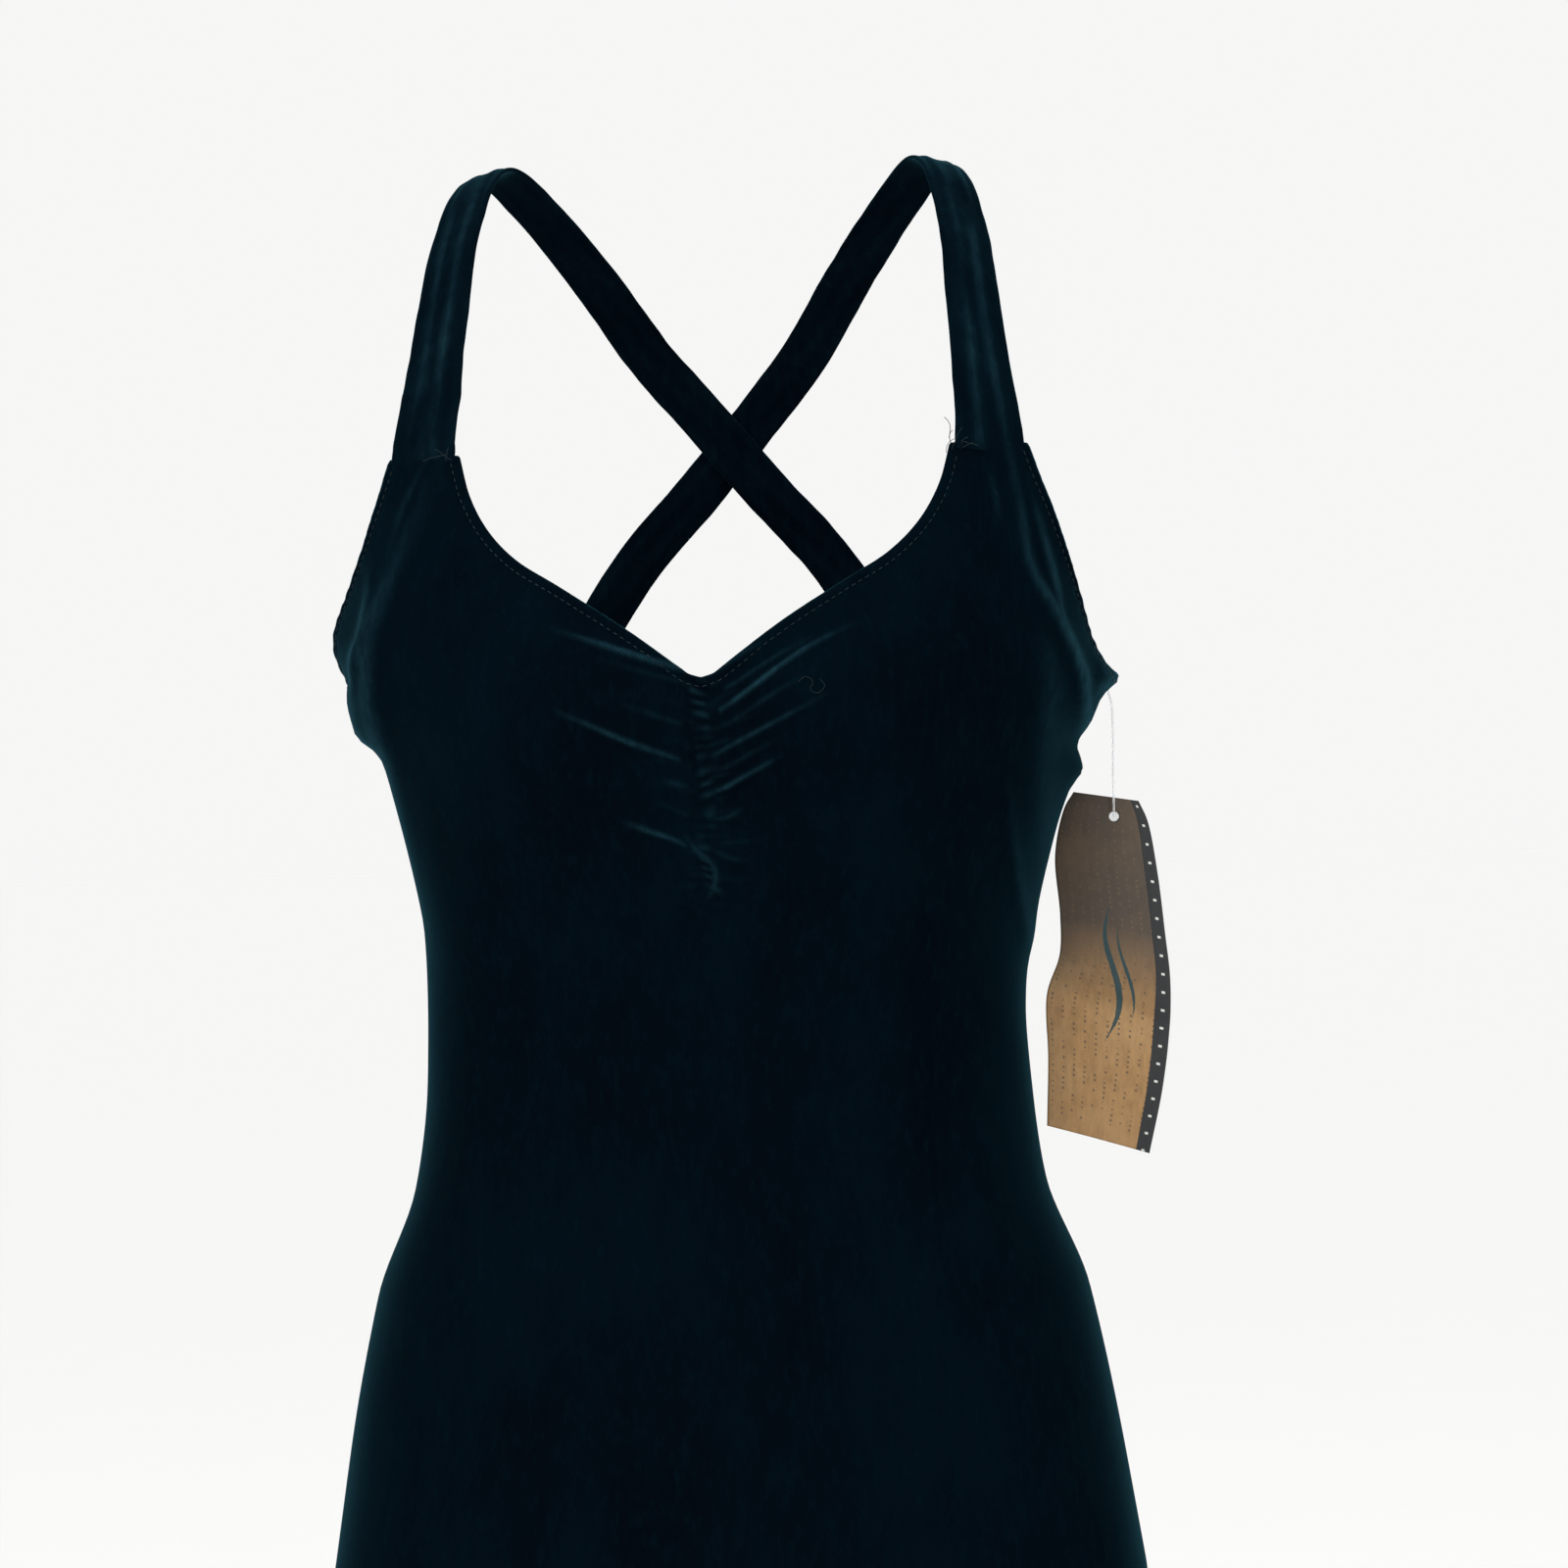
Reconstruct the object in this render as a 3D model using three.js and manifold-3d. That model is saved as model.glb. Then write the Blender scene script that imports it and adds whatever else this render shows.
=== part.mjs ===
// A sleeveless velvet leotard with a gathered centre front, straps that cross at the back, and a hang tag.
// Millimetres, +Z up, the wearer faces -Y. The origin is midway between the two shoulders, where the
// undersides of the straps rest. "Left" and "right" are the wearer's own, so left is +X.

import * as THREE from "three";
import { mergeVertices } from "three/addons/utils/BufferGeometryUtils.js";
import Module from "manifold-3d";

const wasm = await Module();
wasm.setup();

// ---- Heights, measured down from the shoulders -------------------------------------------------
const STRAP_JOIN_Z = -117; // where a strap is sewn to the front
const BACK_TAB_Z = -191; // where a strap is sewn to the back
const UNDERARM_Z = -206;
const NECK_POINT_Z = -207; // bottom of the front neckline
const BUST_Z = -222;
const BACK_SCOOP_Z = -252; // bottom of the back neckline
const UNDERBUST_Z = -290;
const WAIST_Z = -347;
const HIP_Z = -560;
const LEG_SIDE_Z = -580; // top of the leg opening, at the side seam
const CROTCH_Z = -652;

// ---- Girth, as half widths and as depths in front of and behind the side seams ------------------
const UNDERARM_HALF_WIDTH = 152;
const WAIST_HALF_WIDTH = 119;
const HIP_HALF_WIDTH = 161;
const BUST_DEPTH = 104;
const BACK_DEPTH = 93;
const WAIST_FRONT_DEPTH = 82;
const WAIST_BACK_DEPTH = 78;
const HIP_FRONT_DEPTH = 92;
const HIP_BACK_DEPTH = 108;
const SECTION_POWER = 2.3; // 2 would be an ellipse; more is squarer
const BUST_FULLNESS = { out: 13, apart: 64, wide: 34, high: 34 };
const SEAT_FULLNESS = { out: 12, apart: 66, wide: 40, high: 48, z: -540 };

// ---- Cut lines ---------------------------------------------------------------------------------
const STRAP_INNER_X = 97;
const STRAP_OUTER_X = 127;
const NECK_POINT_HALF_WIDTH = 6;
const BACK_TAB_X = 66;
const BACK_TAB_HALF_WIDTH = 11;
const CROTCH_HALF_WIDTH = 37;

// ---- Materials of the garment ------------------------------------------------------------------
const VELVET = 1.2;
const ELASTIC = { width: 7, thick: 0.8 };
const LINING = 0.6;
const LABEL = 0.4;
const GAP = 0.3; // between any two pieces that are sewn or laid together
const SEAM = { wide: 3, deep: 4 }; // overlocked allowance inside each side seam
const PANEL_GAP = 0.6; // between the front and the back at the side seams and the crotch
const STRAP = { halfWidth: 9.3, thick: 2.8, tuck: 13, ease: 1.2, cross: 0.8, settle: 5 };
const PINCH = { width: 6, length: 84 };
const GUSSET_RISE = 52;

// ---- Hang tag and the plastic barb that holds it ------------------------------------------------
const CARD = { width: 50, height: 142, thick: 0.6, holeRadius: 2, holeDrop: 10, cornerX: 9, cornerZ: 22 };
const BARB = { radius: 0.45, barRadius: 0.6, barLength: 9, slack: 2.2, reach: 4, drop: 54 };
const PADDLE = { wide: 3.4, high: 6, thick: 0.8 };
const PIERCE = { y: 6.5, belowEdge: 3.6, clearance: 0.4 };

const ROW_STEP = 16; // height of a row of faces
const AROUND = 44; // faces round the torso
const OUTSIDE = 40; // how far a cut line runs on past the cloth

// =================================================================================================
// The torso that the cloth follows
// =================================================================================================

// Each row: height, half width, depth in front, depth behind.
const STATIONS = [
  [STRAP_JOIN_Z + 30, UNDERARM_HALF_WIDTH - 6, BUST_DEPTH - 34, BACK_DEPTH - 10],
  [STRAP_JOIN_Z, UNDERARM_HALF_WIDTH - 2, BUST_DEPTH - 22, BACK_DEPTH - 5],
  [UNDERARM_Z + 40, UNDERARM_HALF_WIDTH, BUST_DEPTH - 9, BACK_DEPTH - 1],
  [UNDERARM_Z, UNDERARM_HALF_WIDTH, BUST_DEPTH, BACK_DEPTH],
  [UNDERARM_Z - 30, UNDERARM_HALF_WIDTH - 14, BUST_DEPTH, BACK_DEPTH - 1],
  [UNDERBUST_Z, WAIST_HALF_WIDTH + 5, WAIST_FRONT_DEPTH + 12, WAIST_BACK_DEPTH + 7],
  [WAIST_Z, WAIST_HALF_WIDTH, WAIST_FRONT_DEPTH, WAIST_BACK_DEPTH],
  [WAIST_Z - 60, WAIST_HALF_WIDTH + 6, WAIST_FRONT_DEPTH + 3, WAIST_BACK_DEPTH + 11],
  [HIP_Z + 110, HIP_HALF_WIDTH - 20, HIP_FRONT_DEPTH - 2, HIP_BACK_DEPTH - 8],
  [HIP_Z, HIP_HALF_WIDTH, HIP_FRONT_DEPTH, HIP_BACK_DEPTH],
  [LEG_SIDE_Z, HIP_HALF_WIDTH + 1, HIP_FRONT_DEPTH - 1, HIP_BACK_DEPTH - 1],
];

// A smooth value at height z through the stations' own values.
function through(z, column) {
  const last = STATIONS.length - 1;
  const found = STATIONS.findIndex((s) => s[0] <= z);
  const below = Math.max(1, found < 0 ? last : found);
  const above = below - 1;
  const slope = (i) => {
    const up = STATIONS[Math.max(0, i - 1)];
    const down = STATIONS[Math.min(last, i + 1)];
    return (up[column] - down[column]) / (up[0] - down[0]);
  };
  const [p, q] = [STATIONS[below], STATIONS[above]];
  const span = q[0] - p[0];
  const t = THREE.MathUtils.clamp((z - p[0]) / span, 0, 1);
  const [t2, t3] = [t * t, t * t * t];
  return (
    (2 * t3 - 3 * t2 + 1) * p[column] +
    (t3 - 2 * t2 + t) * span * slope(below) +
    (3 * t2 - 2 * t3) * q[column] +
    (t3 - t2) * span * slope(above)
  );
}

function bell(distance, width) {
  return Math.exp(-(distance * distance) / (2 * width * width));
}

// How far a pair of rounded forms pushes the cloth out at (x, z).
function fullness(form, centreZ, x, z) {
  return form.out * bell(Math.abs(x) - form.apart, form.wide) * bell(z - centreZ, form.high);
}

// The torso's section at height z, `inset` inside the cloth's outer face. `close` runs from 1 on the
// torso to 0 at the crotch, where the front and the back meet.
function section(z, inset, close) {
  const halfWidth = through(z, 1) - inset;
  const front = (through(z, 2) - inset) * close;
  const back = (through(z, 3) - inset) * close;
  const power = 2 / SECTION_POWER;
  return Array.from({ length: AROUND }, (_, i) => {
    const angle = (i / AROUND) * 2 * Math.PI;
    const [c, s] = [Math.cos(angle), Math.sin(angle)];
    const x = halfWidth * Math.sign(c) * Math.abs(c) ** power;
    const side = Math.abs(s) < 1e-9 ? 0 : Math.sign(s) * Math.abs(s) ** power;
    const out =
      side < 0
        ? front + close * fullness(BUST_FULLNESS, BUST_Z, x, z)
        : back + close * fullness(SEAT_FULLNESS, SEAT_FULLNESS.z, x, z);
    return new THREE.Vector3(x, side * out, z);
  });
}

// The torso as rings from the top down to the crotch, where the last ring is a line. `overrun` carries
// the first ring straight up.
function torsoRings(inset, overrun) {
  const top = STRAP_JOIN_Z + 12;
  const rows = Math.ceil((top - LEG_SIDE_Z) / ROW_STEP);
  const rings = [];
  if (overrun) {
    rings.push(section(top, inset, 1).map((p) => p.setZ(top + overrun)));
  }
  for (let i = 0; i < rows; i++) {
    rings.push(section(THREE.MathUtils.lerp(top, LEG_SIDE_Z, i / rows), inset, 1));
  }
  const bowl = LEG_SIDE_Z - CROTCH_Z - inset;
  const turns = 7;
  for (let i = 0; i <= turns; i++) {
    const angle = (i / turns) * (Math.PI / 2);
    const close = i === turns ? 0 : Math.cos(angle);
    const ring = section(LEG_SIDE_Z, inset, close);
    ring.forEach((p) => (p.z = LEG_SIDE_Z - bowl * Math.sin(angle)));
    rings.push(ring);
  }
  return rings;
}

// The outer face's depth at (x, z), on the front (-1) or the back (+1).
function depthAt(x, z, facing) {
  const share = Math.min(1, Math.abs(x) / through(z, 1));
  const side = (1 - share ** SECTION_POWER) ** (1 / SECTION_POWER);
  const form = facing < 0 ? BUST_FULLNESS : SEAT_FULLNESS;
  const centreZ = facing < 0 ? BUST_Z : SEAT_FULLNESS.z;
  return facing * side * (through(z, facing < 0 ? 2 : 3) + fullness(form, centreZ, x, z));
}

// =================================================================================================
// Solids
// =================================================================================================

function solidOf(geometry) {
  const bare = new THREE.BufferGeometry();
  bare.setAttribute("position", geometry.getAttribute("position"));
  bare.setIndex(geometry.index);
  const merged = mergeVertices(bare, 1e-3);
  return new wasm.Manifold(
    new wasm.Mesh({
      numProp: 3,
      vertProperties: merged.attributes.position.array,
      triVerts: new Uint32Array(merged.index.array),
    }),
  );
}

// A closed body through rings of equally many points, each end closed by a fan unless it is a line.
// The right half's faces are split the other way, so that a mirrored piece still lies flat against it.
function loft(rings, closeStart, closeEnd) {
  const count = rings[0].length;
  const points = rings.flat();
  const faces = [];
  for (let r = 0; r + 1 < rings.length; r++) {
    for (let i = 0; i < count; i++) {
      const [a, b] = [r * count + i, r * count + ((i + 1) % count)];
      const [c, d] = [a + count, b + count];
      if (points[a].x + points[b].x < 0) {
        faces.push(a, c, b, b, c, d);
      } else {
        faces.push(a, c, d, a, d, b);
      }
    }
  }
  const cap = (ring, start, flip) => {
    const centre = ring.reduce((sum, p) => sum.add(p), new THREE.Vector3());
    points.push(centre.divideScalar(count));
    for (let i = 0; i < count; i++) {
      const [a, b] = [start + i, start + ((i + 1) % count)];
      faces.push(points.length - 1, flip ? b : a, flip ? a : b);
    }
  };
  if (closeStart) cap(rings[0], 0, false);
  if (closeEnd) cap(rings[rings.length - 1], (rings.length - 1) * count, true);
  const geometry = new THREE.BufferGeometry().setFromPoints(points);
  return solidOf(geometry.setIndex(faces));
}

// A layer of cloth between two insets from the outer face, open at the top.
function layer(from, thick) {
  const outer = loft(torsoRings(from, 0), true, false);
  const inner = loft(torsoRings(from + thick, 4), true, false);
  return outer.subtract(inner);
}

// A shape drawn in the XZ plane, pushed through the cloth from fromY to toY.
function prism(outline, fromY, toY) {
  const geometry = new THREE.ExtrudeGeometry(outline, { depth: toY - fromY, bevelEnabled: false });
  geometry.rotateX(Math.PI / 2).translate(0, toY, 0);
  return solidOf(geometry);
}

const DEEP = 200;
const LAP = 1; // the front and back halves of one piece run this far into each other
const frontOf = (outline, clear = -LAP) => prism(outline, -DEEP, -clear);
const backOf = (outline, clear = -LAP) => prism(outline, clear, DEEP);

function block(low, high) {
  const size = high.clone().sub(low);
  const geometry = new THREE.BoxGeometry(size.x, size.y, size.z);
  geometry.translate(...low.clone().addScaledVector(size, 0.5).toArray());
  return solidOf(geometry);
}

// =================================================================================================
// Cut lines, in the XZ plane, for the wearer's left half
// =================================================================================================

const at = (x, z) => new THREE.Vector2(x, z);
const curve = (points, pieces) => new THREE.SplineCurve(points).getPoints(pieces);
const mirrored = (line) => line.map((p) => at(-p.x, p.y)).reverse();
const whole = (half) => [...mirrored(half), ...half];
const belowCrotch = CROTCH_Z - OUTSIDE;
const pastSide = Math.max(UNDERARM_HALF_WIDTH, HIP_HALF_WIDTH) + OUTSIDE;

// Front neckline, from its point up to the strap: a straight slope, then a rounded corner.
const frontNeck = [
  at(0, NECK_POINT_Z),
  ...curve(
    [
      at(NECK_POINT_HALF_WIDTH, NECK_POINT_Z),
      at(26, NECK_POINT_Z + 17),
      at(54, NECK_POINT_Z + 35),
      at(72, NECK_POINT_Z + 47),
      at(83, NECK_POINT_Z + 58),
      at(92, STRAP_JOIN_Z - 17),
      at(STRAP_INNER_X, STRAP_JOIN_Z),
    ],
    16,
  ),
];

// Front armhole, from the strap down to the top of the side seam.
const frontArm = curve(
  [
    at(STRAP_OUTER_X, STRAP_JOIN_Z),
    at(136, STRAP_JOIN_Z - 27),
    at(146, UNDERARM_Z + 30),
    at(UNDERARM_HALF_WIDTH, UNDERARM_Z),
  ],
  12,
);

// Back neckline, from its lowest point up to the strap's tab.
const backNeck = curve(
  [
    at(0, BACK_SCOOP_Z),
    at(26, BACK_SCOOP_Z + 6),
    at(48, BACK_TAB_Z - 26),
    at(BACK_TAB_X - BACK_TAB_HALF_WIDTH, BACK_TAB_Z),
  ],
  12,
);

// Back armhole, from the tab out to the top of the side seam.
const backArm = curve(
  [
    at(BACK_TAB_X + BACK_TAB_HALF_WIDTH, BACK_TAB_Z),
    at(100, UNDERARM_Z + 2),
    at(128, UNDERARM_Z - 1),
    at(UNDERARM_HALF_WIDTH, UNDERARM_Z),
  ],
  12,
);

// Leg openings, from the side seam down to the crotch. The back covers more than the front.
const sideX = HIP_HALF_WIDTH + 1;
const legLine = (inner, outer) =>
  curve(
    [
      at(sideX, LEG_SIDE_Z),
      at(sideX - 30, LEG_SIDE_Z - outer),
      at(CROTCH_HALF_WIDTH + 24, CROTCH_Z + inner),
      at(CROTCH_HALF_WIDTH, CROTCH_Z + 4),
      at(CROTCH_HALF_WIDTH - 1, CROTCH_Z - 8),
    ],
    20,
  );
const frontLeg = legLine(34, 6);
const backLeg = legLine(22, 12);

// A full outline from its centre top round to its centre bottom, both halves.
function outline(neck, arm, leg) {
  const half = [
    ...neck,
    ...arm,
    at(pastSide, UNDERARM_Z),
    at(pastSide, LEG_SIDE_Z),
    ...leg,
    at(CROTCH_HALF_WIDTH - 1, belowCrotch),
  ];
  return new THREE.Shape(whole(half));
}

// A band of cloth along a line, from `start` to `start + width` to the line's right-hand side.
function band(line, width, start = 0.5) {
  const last = line.length - 1;
  const shifted = (distance) =>
    line.map((p, i) => {
      const along = line[Math.min(last, i + 1)].clone().sub(line[Math.max(0, i - 1)]).normalize();
      return at(p.x + along.y * distance, p.y - along.x * distance);
    });
  return new THREE.Shape([...shifted(start), ...shifted(start + width).reverse()]);
}

const alongSide = (line, x) => [...line, at(x, line[line.length - 1].y)];
const fromSide = (line, x) => [at(x, line[0].y), ...line];

// =================================================================================================
// The pieces
// =================================================================================================

const insideVelvet = VELVET + GAP;
const insideElastic = insideVelvet + ELASTIC.thick + GAP;
const insideLining = insideElastic + LINING + GAP;

const frontShape = outline(frontNeck, frontArm, frontLeg);
const backShape = outline(backNeck, backArm, backLeg);

const pierceZ = UNDERARM_Z - PIERCE.belowEdge;
const hangX = UNDERARM_HALF_WIDTH + BARB.reach;
const pierce = new THREE.Vector3(UNDERARM_HALF_WIDTH, PIERCE.y, pierceZ);

// The small hole that the barb makes through the hem under the left arm.
function pierceHole() {
  const geometry = new THREE.CylinderGeometry(
    BARB.radius + PIERCE.clearance,
    BARB.radius + PIERCE.clearance,
    30,
    10,
  );
  geometry.rotateZ(Math.PI / 2).translate(pierce.x, pierce.y, pierce.z);
  return solidOf(geometry);
}

const velvetLayer = layer(0, VELVET);
const elasticLayer = layer(insideVelvet, ELASTIC.thick);

function frontPanel() {
  return velvetLayer.intersect(frontOf(frontShape, PANEL_GAP / 2));
}

function backPanel() {
  return velvetLayer.intersect(backOf(backShape, PANEL_GAP / 2)).subtract(pierceHole());
}

function frontNeckElastic() {
  return elasticLayer.intersect(frontOf(band(whole(frontNeck), ELASTIC.width)));
}

function backNeckElastic() {
  return elasticLayer.intersect(backOf(band(whole(backNeck), ELASTIC.width)));
}

// The armhole elastic runs from the front strap join, under the arm and up to the back tab.
function leftArmholeElastic() {
  const front = frontOf(band(alongSide(frontArm, pastSide), ELASTIC.width));
  const back = backOf(band(alongSide(backArm, pastSide), ELASTIC.width));
  return elasticLayer.intersect(front.add(back));
}

// The leg elastic is one closed loop round the leg opening.
function leftLegElastic() {
  const front = frontOf(band(fromSide(frontLeg, pastSide), ELASTIC.width));
  const back = backOf(band(fromSide(backLeg, pastSide), ELASTIC.width));
  const leftHalf = block(new THREE.Vector3(0, -DEEP, belowCrotch), new THREE.Vector3(pastSide, DEEP, 0));
  return elasticLayer.intersect(front.add(back)).intersect(leftHalf);
}

// A short stretched elastic behind the centre front, which gathers the velvet.
function pinchElastic() {
  const top = NECK_POINT_Z - ELASTIC.width - 2 * GAP - 0.5;
  return elasticLayer.intersect(
    block(
      new THREE.Vector3(-PINCH.width / 2, -DEEP, top - PINCH.length),
      new THREE.Vector3(PINCH.width / 2, 0, top),
    ),
  );
}

const seamClear = SEAM.wide / 2 + GAP;

function bustLining() {
  const above = new THREE.Shape([
    at(-pastSide, UNDERBUST_Z),
    at(pastSide, UNDERBUST_Z),
    at(pastSide, 0),
    at(-pastSide, 0),
  ]);
  return layer(insideElastic, LINING)
    .intersect(frontOf(frontShape, seamClear))
    .intersect(frontOf(above, seamClear));
}

function underbustElastic() {
  return layer(insideLining, ELASTIC.thick).intersect(
    block(
      new THREE.Vector3(-pastSide, -DEEP, UNDERBUST_Z),
      new THREE.Vector3(pastSide, -seamClear, UNDERBUST_Z + ELASTIC.width),
    ),
  );
}

// The cotton lining of the crotch bridges the front and the back.
function gussetLining() {
  const halfWidth = CROTCH_HALF_WIDTH - ELASTIC.width - 8 * GAP;
  return layer(insideVelvet, LINING).intersect(
    block(
      new THREE.Vector3(-halfWidth, -DEEP, belowCrotch),
      new THREE.Vector3(halfWidth, DEEP, CROTCH_Z + GUSSET_RISE),
    ),
  );
}

function leftSideSeam() {
  const clear = ELASTIC.width + 0.5 + 2 * GAP;
  const legClear = 2 * clear; // a high-cut leg line is steep at the seam
  return layer(insideVelvet, SEAM.deep).intersect(
    block(
      new THREE.Vector3(0, -SEAM.wide / 2, LEG_SIDE_Z + legClear),
      new THREE.Vector3(pastSide, SEAM.wide / 2, UNDERARM_Z - clear),
    ),
  );
}

function sizeLabel() {
  const top = BACK_SCOOP_Z - 2;
  return layer(insideElastic, LABEL).intersect(
    block(new THREE.Vector3(-10, 0, top - 16), new THREE.Vector3(10, DEEP, top)),
  );
}

function careLabel() {
  return layer(insideVelvet, LABEL).intersect(
    block(
      new THREE.Vector3(0, seamClear, WAIST_Z - 96),
      new THREE.Vector3(pastSide, seamClear + 17, WAIST_Z - 62),
    ),
  );
}

// ---- Straps ------------------------------------------------------------------------------------

// The left strap's middle line, from its seam on the front, over the shoulder and across the back.
// Each row: the point, and half the strap's width there. `over` carries it over or under the other.
function strapStations(over) {
  const half = STRAP.thick / 2;
  const joinX = (STRAP_INNER_X + STRAP_OUTER_X) / 2;
  const joinHalf = (STRAP_OUTER_X - STRAP_INNER_X) / 2;
  const tuckDepth = depthAt(BACK_TAB_X, BACK_TAB_Z, 1) - insideElastic - half - STRAP.ease;
  const crossDepth = tuckDepth + 4;
  const crossZ = BACK_TAB_Z * 0.56;
  return [
    [joinX, depthAt(joinX, STRAP_JOIN_Z, -1) + half, STRAP_JOIN_Z + GAP, joinHalf],
    [108, -52, STRAP_JOIN_Z + 31, 11.6],
    [105, -40, -57, STRAP.halfWidth + 0.8],
    [102, -26, -30, STRAP.halfWidth],
    [96, -8, -7, STRAP.halfWidth],
    [88, 11, half, STRAP.halfWidth],
    [74, 33, -11, STRAP.halfWidth],
    [53, 56, -38, STRAP.halfWidth],
    [32, crossDepth - 9, crossZ + 38, STRAP.halfWidth],
    [15, crossDepth + over, crossZ + 18, STRAP.halfWidth],
    [0, crossDepth + over, crossZ, STRAP.halfWidth],
    [-15, crossDepth + over, crossZ - 18, STRAP.halfWidth],
    [-BACK_TAB_X * 0.6, crossDepth - 1, (crossZ + BACK_TAB_Z) / 2 - 4, STRAP.halfWidth],
    [-BACK_TAB_X + 6, tuckDepth, BACK_TAB_Z + 6, STRAP.halfWidth],
    [-BACK_TAB_X - 2, tuckDepth - 0.4, BACK_TAB_Z - STRAP.tuck, STRAP.halfWidth],
  ];
}

// Sections of a strap, each a flat ring `thick` by the local width less `margin` on each side. A strap
// with an `overrun` has one more section past each end.
function strapRings(stations, margin, thick, steps, overrun) {
  const line = new THREE.CatmullRomCurve3(stations.map((s) => new THREE.Vector3(s[0], s[1], s[2])));
  const joinSlope = depthAt(STRAP_OUTER_X, STRAP_JOIN_Z, -1) - depthAt(STRAP_INNER_X, STRAP_JOIN_Z, -1);
  const joinOutward = new THREE.Vector3(joinSlope, STRAP_INNER_X - STRAP_OUTER_X, 0).normalize();
  const rings = [];
  for (let i = 0; i <= steps; i++) {
    const t = i / steps;
    const centre = line.getPoint(t);
    const along = line.getTangent(t);
    const place = t * (stations.length - 1);
    const k = Math.min(stations.length - 2, Math.floor(place));
    const halfWidth = THREE.MathUtils.lerp(stations[k][3], stations[k + 1][3], place - k) - margin;
    const core = new THREE.Vector3(centre.x * 0.75, 12, Math.min(centre.z, -90));
    const outward = centre.clone().sub(core).normalize();
    const free = Math.min(1, i / STRAP.settle);
    along.lerp(new THREE.Vector3(0, 0, 1), 1 - free).normalize();
    outward.lerp(joinOutward, 1 - free);
    outward.addScaledVector(along, -outward.dot(along)).normalize();
    const across = along.clone().cross(outward).normalize();
    const corner = (w, h) =>
      centre.clone().addScaledVector(across, w * halfWidth).addScaledVector(outward, (h * thick) / 2);
    const ring = [corner(-1, -1), corner(1, -1), corner(1, 1), corner(-1, 1)];
    const past = ring.map((p) => p.clone().addScaledVector(along, i === 0 ? -overrun : overrun));
    if (overrun && i === 0) rings.push(past);
    rings.push(ring);
    if (overrun && i === steps) rings.push(past);
  }
  return rings;
}

const STRAP_STEPS = 36;
const strapWall = 0.7;

// The strap's velvet is folded into a flat tube.
function strapTube(stations) {
  const outer = loft(strapRings(stations, 0, STRAP.thick, STRAP_STEPS, 0), true, true);
  const hollow = STRAP.thick - 2 * strapWall;
  const inner = loft(strapRings(stations, 1.2, hollow, STRAP_STEPS, 2), true, true);
  return outer.subtract(inner);
}

// The elastic that runs through the tube.
function strapElastic(stations) {
  const thick = STRAP.thick - 2 * strapWall - 2 * GAP;
  return loft(strapRings(stations, 1.2 + GAP, thick, STRAP_STEPS, 0), true, true);
}

// ---- Hang tag ----------------------------------------------------------------------------------

const holeZ = pierceZ - BARB.drop;
const cardY = PIERCE.y - CARD.thick / 2; // its middle hangs straight below the pierced hole

function hangTag() {
  const top = CARD.holeDrop;
  const side = CARD.width / 2;
  const card = new THREE.Shape([
    at(-side, top - CARD.height),
    at(side, top - CARD.height),
    at(side, top - CARD.cornerZ),
    at(side - CARD.cornerX, top),
    at(CARD.cornerX - side, top),
    at(-side, top - CARD.cornerZ),
  ]);
  const hole = new THREE.Path();
  hole.absarc(0, 0, CARD.holeRadius, 0, 2 * Math.PI);
  card.holes.push(hole);
  const geometry = new THREE.ExtrudeGeometry(card, {
    depth: CARD.thick,
    bevelEnabled: false,
    curveSegments: 10,
  });
  geometry.rotateX(Math.PI / 2).translate(hangX, cardY + CARD.thick, holeZ);
  return solidOf(geometry);
}

// A moulded nylon barb: a bar inside the hem, a thread that hangs down, and a paddle behind the card.
function tagBarb() {
  const barX = through(pierceZ, 1) - insideElastic - BARB.barRadius - BARB.slack;
  const paddleY = cardY + CARD.thick + GAP;
  const route = new THREE.CatmullRomCurve3(
    [
      [barX, PIERCE.y, pierceZ],
      [UNDERARM_HALF_WIDTH + 4, PIERCE.y, pierceZ],
      [hangX - 1.5, PIERCE.y, pierceZ - 2.5],
      [hangX, PIERCE.y, pierceZ - 9],
      [hangX, cardY - 1.2, holeZ + CARD.holeDrop + 2],
      [hangX, cardY - 1.4, holeZ + 4],
      [hangX, cardY - 0.7, holeZ + 0.6],
      [hangX, paddleY + PADDLE.thick / 2, holeZ],
    ].map((p) => new THREE.Vector3(...p)),
  );
  const round = new THREE.Shape();
  round.absarc(0, 0, BARB.radius, 0, 2 * Math.PI);
  const thread = new THREE.ExtrudeGeometry(round, { steps: 32, curveSegments: 4, extrudePath: route });
  const bar = new THREE.CylinderGeometry(BARB.barRadius, BARB.barRadius, BARB.barLength, 8);
  bar.rotateX(Math.PI / 2).rotateX(Math.PI / 2).translate(barX, PIERCE.y, pierceZ);
  const paddle = new THREE.BoxGeometry(PADDLE.wide, PADDLE.thick, PADDLE.high);
  paddle.translate(hangX, paddleY + PADDLE.thick / 2, holeZ);
  return solidOf(thread).add(solidOf(bar)).add(solidOf(paddle));
}

// =================================================================================================
// Assembly
// =================================================================================================

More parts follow.
